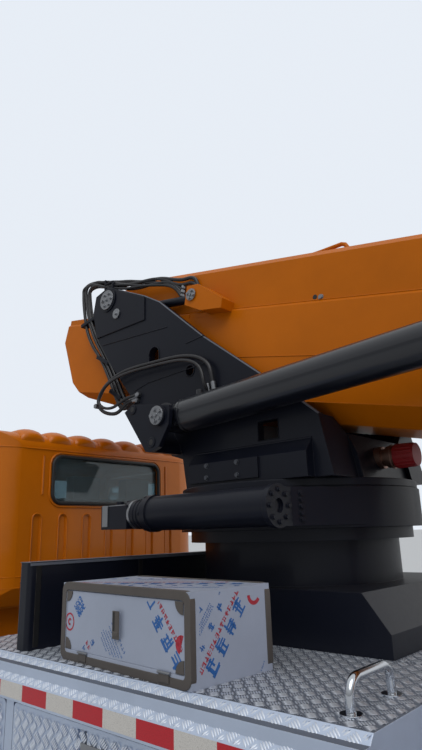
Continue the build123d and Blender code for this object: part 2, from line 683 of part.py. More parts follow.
# Base section of the boom with the pivot tube, cylinder bosses and the levelling bracket
with BuildPart() as boom_1:
    add(boom_solid(0))
    add(boom_solid(BOOM_WALL), mode=Mode.SUBTRACT)
    with BuildSketch(boom_plane(BOOM_HEAD_U - 40)):
        add(boom_face(BOOM_WALL))
    extrude(amount=60, mode=Mode.SUBTRACT)
    add(collar_solid(0, section_inset(1) - SLIDE_GAP))
    # Pivot tube between the tail cheeks, bored for the boom pin
    bar_y(PIVOT_X, PIVOT_Z, PIVOT_RADIUS + 30, -BOOM_WEB_Y - 20, BOOM_WEB_Y + 20)
    bar_y(PIVOT_X, PIVOT_Z, PIVOT_RADIUS + PIN_CLEARANCE, -500, 500, mode=Mode.SUBTRACT)
    eye_x, eye_z = boom_point(EYE_U, EYE_V)
    for side in (1, -1):
        bar_y(eye_x, eye_z, 95, side * (BOOM_WEB_Y - 10), side * (CYLINDER_Y - 75))
        bar_y(eye_x, eye_z, 150, side * (BOOM_WEB_Y - 10), side * (BOOM_WEB_Y + 28))
    # Levelling bracket on the left web
    bracket_x, bracket_z = boom_point(BRACKET_U, BRACKET_V)
    with BuildSketch(boom_side_plane(BOOM_WEB_Y - 5)):
        add(outline([(640, -75), (640, 25), (720, 30), (900, -60), (900, -110), (760, -112)]))
    extrude(amount=LEVEL_Y + 58 - BOOM_WEB_Y)
    with BuildSketch(boom_side_plane(LEVEL_Y - 32)):
        add(outline([(600, -125), (600, 60), (738, 60), (738, -125)]))
    extrude(amount=64, mode=Mode.SUBTRACT)
boom_1.part.label = "boom_1"
export_step(boom_1.part, "parts/boom_1.step")

# Inner telescopic sections: octagonal tubes one in the other, each with its head collar
SECTION_WALL = 10
for index in range(1, BOOM_SECTIONS):
    last = index == BOOM_SECTIONS - 1
    tail_u = 330 + 40 * index
    with BuildPart() as section:
        with BuildSketch(boom_plane(tail_u)):
            add(boom_face(section_inset(index)))
            add(boom_face(section_inset(index) + SECTION_WALL), mode=Mode.SUBTRACT)
        extrude(amount=section_head(index) - tail_u)
        if last:
            add(collar_solid(index, section_inset(index) + 60))
            # Fork lugs that carry the basket head
            hinge_x, hinge_z = boom_point(HINGE_U, BOOM_CENTRE_V)
            for side in (1, -1):
                with BuildSketch(boom_side_plane(side * 105 - 10)):
                    add(outline([
                        (section_head(index) - 50, BOOM_CENTRE_V - 120),
                        (section_head(index) - 50, BOOM_CENTRE_V + 120),
                        (HINGE_U + 20, BOOM_CENTRE_V + 45),
                        (HINGE_U + 20, BOOM_CENTRE_V - 45),
                    ]))
                extrude(amount=20)
                bar_y(hinge_x, hinge_z, 45, side * 105 - 10, side * 105 + 10)
            bar_y(hinge_x, hinge_z, 25 + PIN_CLEARANCE, -200, 200, mode=Mode.SUBTRACT)
        else:
            add(collar_solid(index, section_inset(index + 1) - SLIDE_GAP))
    section.part.label = f"boom_{index + 1}"
    export_step(section.part, f"parts/boom_{index + 1}.step")

# Lift cylinders: a barrel on the turret's ear and a rod whose eye stands beside the boom's boss
LIFT_BARREL_END = 2080
lift_length = hypot(eye_x - CYLINDER_PIN_X, eye_z - CYLINDER_PIN_Z)
lift_dir = Vector(eye_x - CYLINDER_PIN_X, 0, eye_z - CYLINDER_PIN_Z) / lift_length
for side, side_name in ((1, "left"), (-1, "right")):
    lift_plane = Plane(origin=(CYLINDER_PIN_X, side * CYLINDER_Y, CYLINDER_PIN_Z),
                       x_dir=(0, 1, 0), z_dir=lift_dir)
    with BuildPart() as lift_barrel:
        with BuildSketch(lift_plane.offset(70)):
            Circle(LIFT_BARREL_RADIUS)
        extrude(amount=LIFT_BARREL_END - 70)
        with BuildSketch(lift_plane.offset(LIFT_BARREL_END - 90)):
            Circle(LIFT_BARREL_RADIUS + 7)
        extrude(amount=90)
        bar_y(CYLINDER_PIN_X, CYLINDER_PIN_Z, 66, side * CYLINDER_Y - 68, side * CYLINDER_Y + 68)
        with BuildSketch(lift_plane):
            Rectangle(110, 100)
        extrude(amount=80)
        bar_y(CYLINDER_PIN_X, CYLINDER_PIN_Z, CYLINDER_PIN_RADIUS + PIN_CLEARANCE,
              side * CYLINDER_Y - 90, side * CYLINDER_Y + 90, mode=Mode.SUBTRACT)
        with BuildSketch(lift_plane.offset(110)):
            Circle(LIFT_BARREL_RADIUS - 12)
        extrude(amount=LIFT_BARREL_END - 140, mode=Mode.SUBTRACT)
        with BuildSketch(lift_plane.offset(LIFT_BARREL_END - 60)):
            Circle(LIFT_ROD_RADIUS + PIN_CLEARANCE)
        extrude(amount=80, mode=Mode.SUBTRACT)
    lift_barrel.part.label = f"lift_barrel_{side_name}"
    export_step(lift_barrel.part, f"parts/lift_barrel_{side_name}.step")

    with BuildPart() as lift_rod:
        with BuildSketch(lift_plane.offset(150)):
            Circle(LIFT_BARREL_RADIUS - 12 - SLIDE_GAP)
        extrude(amount=110)
        with BuildSketch(lift_plane.offset(250)):
            Circle(LIFT_ROD_RADIUS)
        extrude(amount=lift_length - 250)
        bar_y(eye_x, eye_z, 78, side * (CYLINDER_Y - 68), side * (CYLINDER_Y + 68))
        bar_y(eye_x, eye_z, 48, side * (CYLINDER_Y + 68), side * (CYLINDER_Y + 81))
    lift_rod.part.label = f"lift_rod_{side_name}"
    export_step(lift_rod.part, f"parts/lift_rod_{side_name}.step")

# Levelling cylinder: pinned in the turret's left plate, its rod ends in the boom's bracket
LEVEL_BASE_X = 2800
LEVEL_BASE_Z = 2870
LEVEL_BARREL_END = 480
level_length = hypot(bracket_x - LEVEL_BASE_X, bracket_z - LEVEL_BASE_Z)
level_dir = Vector(bracket_x - LEVEL_BASE_X, 0, bracket_z - LEVEL_BASE_Z) / level_length
level_plane = Plane(origin=(LEVEL_BASE_X, LEVEL_Y, LEVEL_BASE_Z), x_dir=(0, 1, 0), z_dir=level_dir)
with BuildPart() as level_barrel:
    with BuildSketch(level_plane.offset(22)):
        Circle(LEVEL_RADIUS)
    extrude(amount=LEVEL_BARREL_END - 22)
    bar_y(LEVEL_BASE_X, LEVEL_BASE_Z, 24, LEVEL_Y - 22, LEVEL_Y + 22)
    with BuildSketch(level_plane.offset(60)):
        Circle(15 + SLIDE_GAP)
    extrude(amount=LEVEL_BARREL_END, mode=Mode.SUBTRACT)
    bar_y(LEVEL_BASE_X, LEVEL_BASE_Z, 12, LEVEL_Y - 10, PLATE_INNER_Y - SLIDE_GAP)
level_barrel.part.label = "level_barrel"
export_step(level_barrel.part, "parts/level_barrel.step")
with BuildPart() as level_rod:
    with BuildSketch(level_plane.offset(65)):
        Circle(15)
    extrude(amount=level_length - 65)
    bar_y(bracket_x, bracket_z, 22, LEVEL_Y - 22, LEVEL_Y + 22)
level_rod.part.label = "level_rod"
export_step(level_rod.part, "parts/level_rod.step")

# Basket head: hinge sleeve at the boom tip, upright swivel post
HEAD_POST_RADIUS = 45
with BuildPart() as basket_head:
    bar_y(hinge_x, hinge_z, 48, -88, 88)
    bar_y(hinge_x, hinge_z, 25, -130, 130)
    block(SWIVEL_X, hinge_x - 30, -60, 60, hinge_z - 60, hinge_z + 60)
    bar_z(SWIVEL_X, 0, HEAD_POST_RADIUS + 15, hinge_z - 170, hinge_z + 170)
    bar_z(SWIVEL_X, 0, HEAD_POST_RADIUS, hinge_z - 240, hinge_z + 240)
basket_head.part.label = "basket_head"
export_step(basket_head.part, "parts/basket_head.step")

# Basket: tube cage on a floor plate, hung on two sleeves round the swivel post
with BuildPart() as basket:
    tube = BASKET_TUBE
    rail_top = BASKET_FLOOR + BASKET_HEIGHT
    block(BASKET_REAR_X, BASKET_FRONT_X, -BASKET_HALF, BASKET_HALF, BASKET_FLOOR, BASKET_FLOOR + tube)
    for rail_z in (rail_top - tube, BASKET_FLOOR + 560):
        block(BASKET_REAR_X, BASKET_FRONT_X, -BASKET_HALF, BASKET_HALF, rail_z, rail_z + tube)
        block(BASKET_REAR_X + tube, BASKET_FRONT_X - tube, -BASKET_HALF + tube, BASKET_HALF - tube,
              rail_z, rail_z + tube, mode=Mode.SUBTRACT)
    kick = 120
    block(BASKET_REAR_X, BASKET_FRONT_X, -BASKET_HALF, BASKET_HALF, BASKET_FLOOR + tube, BASKET_FLOOR + kick)
    block(BASKET_REAR_X + 4, BASKET_FRONT_X - 4, -BASKET_HALF + 4, BASKET_HALF - 4,
          BASKET_FLOOR + tube, BASKET_FLOOR + kick, mode=Mode.SUBTRACT)
    post_ys = (-BASKET_HALF, -BASKET_HALF / 2, 0, BASKET_HALF / 2, BASKET_HALF)
    for post_y in post_ys:
        y0 = min(max(post_y - tube / 2, -BASKET_HALF), BASKET_HALF - tube)
        for post_x in (BASKET_REAR_X, BASKET_FRONT_X - tube):
            block(post_x, post_x + tube, y0, y0 + tube, BASKET_FLOOR, rail_top)
    middle_x = (BASKET_REAR_X + BASKET_FRONT_X) / 2
    for side in (1, -1):
        block(middle_x - tube / 2, middle_x + tube / 2, side * BASKET_HALF, side * (BASKET_HALF - tube),
              BASKET_FLOOR, rail_top)
    # Swivel sleeves on the front posts
    for sleeve_z in (hinge_z - 235, hinge_z + 175):
        block(BASKET_FRONT_X - tube, SWIVEL_X, -50, 50, sleeve_z, sleeve_z + 60)
        bar_z(SWIVEL_X, 0, HEAD_POST_RADIUS + 25, sleeve_z, sleeve_z + 60)
        bar_z(SWIVEL_X, 0, HEAD_POST_RADIUS + PIN_CLEARANCE, sleeve_z - 5, sleeve_z + 65,
              mode=Mode.SUBTRACT)
    block(BASKET_FRONT_X - tube, BASKET_FRONT_X, -50, 50, BASKET_FLOOR, hinge_z + 235)
    # Control box on the front rail
    block(BASKET_FRONT_X - 190, BASKET_FRONT_X - tube, 260, 620, rail_top - 190, rail_top + 10)
basket.part.label = "basket"
export_step(basket.part, "parts/basket.step")

# Outriggers: each has a beam that slides out of its housing and a jack that slides down
for beam_x, end_name in ((FRONT_BEAM_X, "front"), (REAR_BEAM_X, "rear")):
    for side, side_name in ((1, "left"), (-1, "right")):
        centre = beam_x + side * BEAM_PAIR_X
        with BuildPart() as beam:
            block(centre - BEAM_WIDTH / 2, centre + BEAM_WIDTH / 2,
                  side * (JACK_Y - BEAM_LENGTH), side * JACK_Y,
                  BEAM_Z - BEAM_HEIGHT / 2, BEAM_Z + BEAM_HEIGHT / 2)
            block(centre - JACK_HALF, centre + JACK_HALF, side * (JACK_Y - JACK_HALF),
                  side * (JACK_Y + JACK_HALF), JACK_LOW, JACK_TOP)
            bar_z(centre, side * JACK_Y, 50 + SLIDE_GAP, JACK_LOW - 10, JACK_TOP - 30, mode=Mode.SUBTRACT)
        beam.part.label = f"outrigger_beam_{end_name}_{side_name}"
        export_step(beam.part, f"parts/outrigger_beam_{end_name}_{side_name}.step")
        with BuildPart() as jack:
            bar_z(centre, side * JACK_Y, 50, FOOT_LOW + 30, JACK_TOP - 40)
            bar_z(centre, side * JACK_Y, FOOT_RADIUS, FOOT_LOW, FOOT_LOW + 22)
            bar_z(centre, side * JACK_Y, 62, FOOT_LOW + 20, FOOT_LOW + 45)
        jack.part.label = f"outrigger_jack_{end_name}_{side_name}"
        export_step(jack.part, f"parts/outrigger_jack_{end_name}_{side_name}.step")

# Cab: the side outline and the plan outline cut each other, hollowed by the wall
# Each row of the side outline: x, z and the radius of that corner
ROOF_RADIUS = 95
CAB_SIDE = [
    (CAB_REAR_X, CAB_REAR_SILL_Z, 30),
    (CAB_REAR_X, CAB_ROOF_Z, ROOF_RADIUS),
    (4600, CAB_ROOF_Z, 400),
    (4775, CAB_ROOF_Z - 110, 60),
    (4985, 1560, 200),
    (CAB_FRONT_X, 1300, 200),
    (CAB_FRONT_X, CAB_FLOOR_Z, 50),
    (3640, CAB_FLOOR_Z, 30),
    (3600, CAB_REAR_SILL_Z - 100, 30),
    (CAB_REAR_X + 60, CAB_REAR_SILL_Z - 100, 30),
]
ARCH_RADIUS = 500


def cab_form(inset):
    """Closed cab form, moved in by a distance all round."""
    width = CAB_HALF_WIDTH - inset
    rear = CAB_REAR_X - PLAN_EASE + inset
    front = CAB_FRONT_X + PLAN_EASE - inset
    roof = CAB_ROOF_Z + PLAN_EASE - inset
    rear_r = CAB_REAR_CORNER - inset
    front_r = CAB_FRONT_CORNER - inset
    with BuildPart() as form:
        with BuildSketch(Plane.XY.offset(CAB_FLOOR_Z - 50)):
            with BuildLine():
                FilletPolyline((rear, -width), (front, -width), (front, width), (rear, width),
                               radius=[rear_r, front_r, front_r, rear_r], close=True)
            make_face()
        extrude(amount=1500)
        with BuildSketch(side_plane(-1000)):
            with BuildLine():
                FilletPolyline(*[(-x, z) for x, z, r in CAB_SIDE], radius=[r for x, z, r in CAB_SIDE], close=True)
            make_face()
            if inset > 0:
                offset(amount=-inset, kind=Kind.INTERSECTION, mode=Mode.REPLACE)
        extrude(amount=2000, mode=Mode.INTERSECT)
        with BuildSketch(Plane.YZ.offset(CAB_REAR_X - 50)):
            with BuildLine():
                FilletPolyline((-width, 0), (-width, roof), (width, roof), (width, 0),
                               radius=[1, ROOF_RADIUS - inset, ROOF_RADIUS - inset, 1], close=True)
            make_face()
        extrude(amount=2000, mode=Mode.INTERSECT)
    return form.part


def slab_y(points, y0, y1):
    """Prism across the cab between two Y values from an (x, z) outline."""
    with BuildPart() as prism:
        with BuildSketch(side_plane(y0)):
            add(side_face(points))
        extrude(amount=y1 - y0)
    return prism.part


def slab_x(y_half, z0, z1, radius, x0, x1):
    """Round-cornered prism along X, centred on the truck."""
    with BuildPart() as prism:
        with BuildSketch(Plane.YZ.offset(x0)):
            with Locations((0, (z0 + z1) / 2)):
                RectangleRounded(2 * y_half, z1 - z0, radius)
        extrude(amount=x1 - x0)
    return prism.part


DOOR_OUTLINE = [
    (DOOR_REAR_X, DOOR_LOW_Z + 250),
    (DOOR_REAR_X, DOOR_HIGH_Z),
    (DOOR_FRONT_X - 90, DOOR_HIGH_Z),
    (DOOR_FRONT_X + 130, 1560),
    (DOOR_FRONT_X + 130, DOOR_LOW_Z),
    (DOOR_REAR_X + 800, DOOR_LOW_Z),
    (DOOR_REAR_X + 640, DOOR_LOW_Z + 100),
    (DOOR_REAR_X + 60, DOOR_LOW_Z + 100),
]
DOOR_WINDOW = [
    (DOOR_REAR_X + 90, 1560),
    (DOOR_REAR_X + 90, DOOR_HIGH_Z - 75),
    (DOOR_FRONT_X - 130, DOOR_HIGH_Z - 75),
    (DOOR_FRONT_X + 60, 1560),
]
HINGE_X = DOOR_FRONT_X + 130 - DOOR_GAP / 2
HINGE_RADIUS = 12
HINGE_PIN_RADIUS = 7
HINGE_HEIGHT = 50
# Cab shell: back wall with its window and flutes, roof ribs, windscreen and door openings
cab_outer = cab_form(0)
cab_inner = cab_form(CAB_WALL)
door_prism = slab_y(DOOR_OUTLINE, -1000, 1000)
door_window_prism = slab_y(DOOR_WINDOW, -1000, 1000)
rear_window_prism = slab_x(REAR_WINDOW_HALF, REAR_WINDOW_LOW, REAR_WINDOW_HIGH, 60,
                           CAB_REAR_X - 50, CAB_REAR_X + 100)
screen_prism = slab_x(740, 1600, 2080, 70, 4600, CAB_FRONT_X + 50)
FLUTE_PITCH = 175
FLUTE_COUNT = 7
RIB_PITCH = 190
RIB_COUNT = 7
with BuildPart() as cab_shell:
    add(cab_outer)
    add(cab_inner, mode=Mode.SUBTRACT)
    add(door_prism, mode=Mode.SUBTRACT)
    add(rear_window_prism, mode=Mode.SUBTRACT)
    add(screen_prism, mode=Mode.SUBTRACT)
    # Wheel arches
    bar_y(FRONT_AXLE_X, AXLE_Z, ARCH_RADIUS, -1000, -500, mode=Mode.SUBTRACT)
    bar_y(FRONT_AXLE_X, AXLE_Z, ARCH_RADIUS, 500, 1000, mode=Mode.SUBTRACT)
    # Upright flutes pressed into the back wall below the window
    for index in range(FLUTE_COUNT):
        flute_y = (index - (FLUTE_COUNT - 1) / 2) * FLUTE_PITCH
        with BuildSketch(Plane.YZ.offset(CAB_REAR_X - 1)):
            with Locations((flute_y, (1370 + 1730) / 2)):
                SlotOverall(360, 46, rotation=90)
        extrude(amount=8, mode=Mode.SUBTRACT)
    # Lengthwise ribs pressed up in the roof
    for index in range(RIB_COUNT):
        rib_y = (index - (RIB_COUNT - 1) / 2) * RIB_PITCH
        with BuildSketch(Plane.XY.offset(CAB_ROOF_Z - 2)):
            with Locations((CAB_REAR_X + 560, rib_y)):
                SlotOverall(900, 90)
        extrude(amount=14)
    # Fixed halves of the door hinges, on straps outside the front edge of each opening
    for side in (1, -1):
        for level in DOOR_HINGE_LEVELS:
            low = level + HINGE_HEIGHT + SLIDE_GAP
            block(HINGE_X, HINGE_X + 45, side * (CAB_HALF_WIDTH - 2), side * (CAB_HALF_WIDTH + 8),
                  low, low + HINGE_HEIGHT)
            bar_z(HINGE_X, side * DOOR_HINGE_Y, HINGE_RADIUS, low, low + HINGE_HEIGHT)
            bar_z(HINGE_X, side * DOOR_HINGE_Y, HINGE_PIN_RADIUS + SLIDE_GAP, low - 1,
                  low + HINGE_HEIGHT + 1, mode=Mode.SUBTRACT)
cab_shell.part.label = "cab_shell"
export_step(cab_shell.part, "parts/cab_shell.step")

# Cab doors: the wall inside the door opening, with a running gap and the window cut out
for side, side_name in ((1, "left"), (-1, "right")):
    with BuildPart() as cab_door:
        with BuildSketch(side_plane(400 if side > 0 else -1000)):
            add(side_face(DOOR_OUTLINE))
            offset(amount=-DOOR_GAP, kind=Kind.INTERSECTION, mode=Mode.REPLACE)
        extrude(amount=600)
        add(cab_outer, mode=Mode.INTERSECT)
        add(cab_inner, mode=Mode.SUBTRACT)
        add(door_window_prism, mode=Mode.SUBTRACT)
        # Moving halves of the hinges with their pins
        for level in DOOR_HINGE_LEVELS:
            block(HINGE_X - 45, HINGE_X, side * (CAB_HALF_WIDTH - 2), side * (CAB_HALF_WIDTH + 8),
                  level, level + HINGE_HEIGHT)
            bar_z(HINGE_X, side * DOOR_HINGE_Y, HINGE_RADIUS, level, level + HINGE_HEIGHT)
            bar_z(HINGE_X, side * DOOR_HINGE_Y, HINGE_PIN_RADIUS, level, level + 2 * HINGE_HEIGHT)
        # Outside handle and the mirror on its arm
        block(DOOR_REAR_X + 60, DOOR_REAR_X + 220, side * CAB_HALF_WIDTH, side * (CAB_HALF_WIDTH + 22),
              1470, 1495)
        bar_y(DOOR_FRONT_X + 90, 1520, 12, side * (CAB_HALF_WIDTH - 20), side * (CAB_HALF_WIDTH + 150))
        bar_z(DOOR_FRONT_X + 90, side * (CAB_HALF_WIDTH + 140), 12, 1510, 1640)
        block(DOOR_FRONT_X + 70, DOOR_FRONT_X + 120, side * (CAB_HALF_WIDTH + 60),
              side * (CAB_HALF_WIDTH + 230), 1620, 1990)
    cab_door.part.label = f"cab_door_{side_name}"
    export_step(cab_door.part, f"parts/cab_door_{side_name}.step")

# Cab glass: windscreen and rear window, set in the middle of the wall
with BuildPart() as cab_glass:
    add(cab_form(CAB_WALL / 2))
    add(cab_form(CAB_WALL / 2 + GLASS_THICKNESS), mode=Mode.SUBTRACT)
    with BuildPart(mode=Mode.PRIVATE) as panes:
        add(rear_window_prism)
        add(screen_prism)
    add(panes.part, mode=Mode.INTERSECT)
cab_glass.part.label = "cab_glass"
export_step(cab_glass.part, "parts/cab_glass.step")

# Cab interior: bench, backs, dashboard and steering wheel on a sloped column
INTERIOR_FLOOR = CAB_FLOOR_Z + CAB_WALL
with BuildPart() as cab_interior:
    block(3720, 4700, -640, 640, INTERIOR_FLOOR, INTERIOR_FLOOR + 18)
    for seat_y in (450, 0, -450):
        block(3800, 4260, seat_y - 200, seat_y + 200, INTERIOR_FLOOR + 18, 1330)
        block(3690, 3800, seat_y - 200, seat_y + 200, 1250, 1850)
        block(3700, 3780, seat_y - 110, seat_y + 110, 1840, 2000)
    block(4660, 4860, -720, 720, 1180, 1500)
    block(4660, 4700, -640, 640, INTERIOR_FLOOR, 1200)
    column_plane = Plane(origin=(4680, 450, 1450), x_dir=(0, 1, 0), z_dir=(-0.72, 0, 0.69))
    with BuildSketch(column_plane):
        Circle(25)
    extrude(amount=170)
    with BuildSketch(column_plane.offset(160)):
        Circle(215)
        Circle(190, mode=Mode.SUBTRACT)
    extrude(amount=24)
    with BuildSketch(column_plane.offset(160)):
        Rectangle(400, 40)
        Circle(50)
    extrude(amount=18)
cab_interior.part.label = "cab_interior"
export_step(cab_interior.part, "parts/cab_interior.step")

# Front bumper with the radiator opening above it and recesses for the lamps
BUMPER_HALF = 960
BUMPER_LOW = 430
BUMPER_TOP = 860
with BuildPart() as front_bumper:
    with BuildSketch(Plane.XY.offset(BUMPER_LOW)):
        with BuildLine():
            FilletPolyline((FRAME_FRONT_X - 120, -BUMPER_HALF), (BUMPER_FRONT_X, -BUMPER_HALF),
                           (BUMPER_FRONT_X, BUMPER_HALF), (FRAME_FRONT_X - 120, BUMPER_HALF),
                           radius=[1, 100, 100, 1], close=True)
        make_face()
    extrude(amount=BUMPER_TOP - BUMPER_LOW)
    block(FRAME_FRONT_X - 130, FRAME_FRONT_X, -BUMPER_HALF + 30, BUMPER_HALF - 30,
          BUMPER_LOW - 5, BUMPER_TOP + 5, mode=Mode.SUBTRACT)
    block(BUMPER_FRONT_X - 40, BUMPER_FRONT_X + 5, -420, 420, 700, 820, mode=Mode.SUBTRACT)
    for side in (1, -1):
        block(BUMPER_FRONT_X - 60, BUMPER_FRONT_X + 5, side * 560, side * 840, 690, 820, mode=Mode.SUBTRACT)
        block(FRAME_FRONT_X - 120, FRAME_FRONT_X + 20, side * (BUMPER_HALF - 40),
              side * BUMPER_HALF, BUMPER_TOP - 90, BUMPER_TOP)
front_bumper.part.label = "front_bumper"
export_step(front_bumper.part, "parts/front_bumper.step")

# Lamps: headlamps in the bumper and tail lamps under the rear end of the deck
with BuildPart() as lamps:
    for side in (1, -1):
        block(BUMPER_FRONT_X - 60, BUMPER_FRONT_X - 6, side * 564, side * 836, 694, 816)
        block(FRAME_REAR_X - 36, FRAME_REAR_X, side * 620, side * 980, UNDERRUN_LOW, RAIL_BOTTOM)
    fillet(lamps.edges().filter_by(Axis.X), radius=20)
lamps.part.label = "lamps"
export_step(lamps.part, "parts/lamps.step")

# Tyres and wheels: revolved about the axle line; twins share a body, so they share a node
TYRE_SECTION = [
    (-TYRE_WIDTH / 2 + 8, RIM_RADIUS),
    (-TYRE_WIDTH / 2, RIM_RADIUS + 60),
    (-TYRE_WIDTH / 2, TYRE_RADIUS - 50),
    (-TYRE_WIDTH / 2 + 22, TYRE_RADIUS - 8),
    (-TYRE_WIDTH / 2 + 50, TYRE_RADIUS),
    (TYRE_WIDTH / 2 - 50, TYRE_RADIUS),
    (TYRE_WIDTH / 2 - 22, TYRE_RADIUS - 8),
    (TYRE_WIDTH / 2, TYRE_RADIUS - 50),
    (TYRE_WIDTH / 2, RIM_RADIUS + 60),
    (TYRE_WIDTH / 2 - 8, RIM_RADIUS),
]
HUB_RADIUS = 105
NUT_CIRCLE = 85
NUT_RADIUS = 14
HAND_HOLE_CIRCLE = 158
HAND_HOLE_RADIUS = 17


def tyre_form(wheel_y):
    """One tyre as a ring about its axle line."""
    with BuildPart() as ring:
        with BuildSketch(Plane.YZ):
            add(outline([(wheel_y + y, z) for y, z in TYRE_SECTION]))
        revolve(axis=Axis.Y)
    return ring.part


def rim_form(wheel_y, disc_side):
    """One rim with its dished disc; disc_side is the side of the disc's face, +1 or -1."""
    section = [
        (-RIM_HALF, RIM_RADIUS - SLIDE_GAP),
        (RIM_HALF, RIM_RADIUS - SLIDE_GAP),
        (RIM_HALF, RIM_RADIUS - 14),
        (RIM_HALF - 60, RIM_RADIUS - 26),
        (RIM_HALF - 68, 150),
        (DISC_FACE, HUB_RADIUS + 15),
        (DISC_FACE, 0),
        (DISC_FACE - DISC_THICKNESS, 0),
        (DISC_FACE - DISC_THICKNESS, HUB_RADIUS),
        (RIM_HALF - 84, 145),
        (RIM_HALF - 84, RIM_RADIUS - 26),
        (-RIM_HALF, RIM_RADIUS - 14),
    ]
    with BuildPart() as rim:
        with BuildSketch(Plane.YZ):
            add(outline([(wheel_y + disc_side * y, z) for y, z in section]))
        revolve(axis=Axis.Y)
        for index in range(HAND_HOLES):
            angle = radians(360 / HAND_HOLES * (index + 0.5))
            bar_y(HAND_HOLE_CIRCLE * cos(angle), HAND_HOLE_CIRCLE * sin(angle), HAND_HOLE_RADIUS,
                  wheel_y - TYRE_WIDTH / 2, wheel_y + TYRE_WIDTH / 2, mode=Mode.SUBTRACT)
    return rim.part


def hub_form(face_y, side, cap_length):
    """Hub cap and wheel nuts that stand on the face of a disc."""
    with BuildPart() as hub:
        bar_y(0, 0, 52, face_y - side * 2, face_y + side * cap_length)
        for index in range(WHEEL_NUTS):
            angle = radians(360 / WHEEL_NUTS * index)
            bar_y(NUT_CIRCLE * cos(angle), NUT_CIRCLE * sin(angle), NUT_RADIUS,
                  face_y - side * 2, face_y + side * 24)
    return hub.part


for side, side_name in ((1, "left"), (-1, "right")):
    front_place = Location((FRONT_AXLE_X, 0, AXLE_Z))
    rear_place = Location((REAR_AXLE_X, 0, AXLE_Z))
    with BuildPart() as tyre:
        add(tyre_form(side * FRONT_WHEEL_Y).moved(front_place))
    tyre.part.label = f"tyre_front_{side_name}"
    export_step(tyre.part, f"parts/tyre_front_{side_name}.step")
    with BuildPart() as wheel:
        add(rim_form(side * FRONT_WHEEL_Y, side).moved(front_place))
        add(hub_form(side * (FRONT_WHEEL_Y + DISC_FACE), side, 60).moved(front_place))
    wheel.part.label = f"wheel_front_{side_name}"
    export_step(wheel.part, f"parts/wheel_front_{side_name}.step")
    with BuildPart() as twin_tyres:
        for twin_y in (TWIN_OUTER_Y, TWIN_INNER_Y):
            add(tyre_form(side * twin_y).moved(rear_place))
    twin_tyres.part.label = f"tyres_rear_{side_name}"
    export_step(twin_tyres.part, f"parts/tyres_rear_{side_name}.step")
    with BuildPart() as twin_wheels:
        add(rim_form(side * TWIN_OUTER_Y, -side).moved(rear_place))
        add(rim_form(side * TWIN_INNER_Y, side).moved(rear_place))
        # Hub between the two discs, with its cap and nuts in the outer wheel's dish
        bar_y(REAR_AXLE_X, AXLE_Z, HUB_RADIUS, side * (TWIN_INNER_Y + DISC_FACE - 2),
              side * (TWIN_OUTER_Y - DISC_FACE + 2))
        outer_face = TWIN_OUTER_Y - DISC_FACE + DISC_THICKNESS
        add(hub_form(side * outer_face, side, 110).moved(rear_place))
    twin_wheels.part.label = f"wheels_rear_{side_name}"
    export_step(twin_wheels.part, f"parts/wheels_rear_{side_name}.step")

# Steering knuckles: kingpin boss, stub axle and the arm to the track rod
for side, side_name in ((1, "left"), (-1, "right")):
    with BuildPart() as knuckle:
        bar_z(FRONT_AXLE_X, side * KINGPIN_Y, 44, 376, 474)
        block(FRONT_AXLE_X - 40, FRONT_AXLE_X + 40, side * KINGPIN_Y, side * (KINGPIN_Y + 75), 385, 465)
        bar_y(FRONT_AXLE_X, AXLE_Z, 32, side * KINGPIN_Y,
              side * (FRONT_WHEEL_Y + DISC_FACE - DISC_THICKNESS - SLIDE_GAP))
        bar_z(FRONT_AXLE_X, side * KINGPIN_Y, KINGPIN_RADIUS + PIN_CLEARANCE, 370, 480, mode=Mode.SUBTRACT)
        block(FRONT_AXLE_X - 190, FRONT_AXLE_X - 36, side * (KINGPIN_Y - 30), side * (KINGPIN_Y - 5), 400, 440)
    knuckle.part.label = f"knuckle_{side_name}"
    export_step(knuckle.part, f"parts/knuckle_{side_name}.step")

# Tool chest: stainless box with a drop-down front door, standing askew on the deck
CHEST_LENGTH = 700
CHEST_DEPTH = 340
CHEST_HEIGHT = 255
CHEST_TURN = 4
CHEST_WALL = 6
chest_place = Location((1953, 1108.5, DECK_TOP), (0, 0, -CHEST_TURN))
with BuildPart() as tool_chest:
    with Locations(chest_place):
        Box(CHEST_LENGTH, CHEST_DEPTH, CHEST_HEIGHT, align=(Align.CENTER, Align.MAX, Align.MIN))
    with Locations(chest_place * Location((0, 1, CHEST_WALL + 30))):
        Box(CHEST_LENGTH - 50, CHEST_DEPTH - CHEST_WALL, CHEST_HEIGHT - 60,
            align=(Align.CENTER, Align.MAX, Align.MIN), mode=Mode.SUBTRACT)
tool_chest.part.label = "tool_chest"
export_step(tool_chest.part, "parts/tool_chest.step")
with BuildPart() as chest_door:
    with Locations(chest_place * Location((0, -1, CHEST_WALL + 30 + SLIDE_GAP))):
        Box(CHEST_LENGTH - 54, 8, CHEST_HEIGHT - 62, align=(Align.CENTER, Align.MAX, Align.MIN))
    with Locations(chest_place * Location((0, -2, 140))):
        Box(22, 10, 75, align=(Align.CENTER, Align.MIN, Align.CENTER))
chest_door.part.label = "tool_chest_door"
export_step(chest_door.part, "parts/tool_chest_door.step")

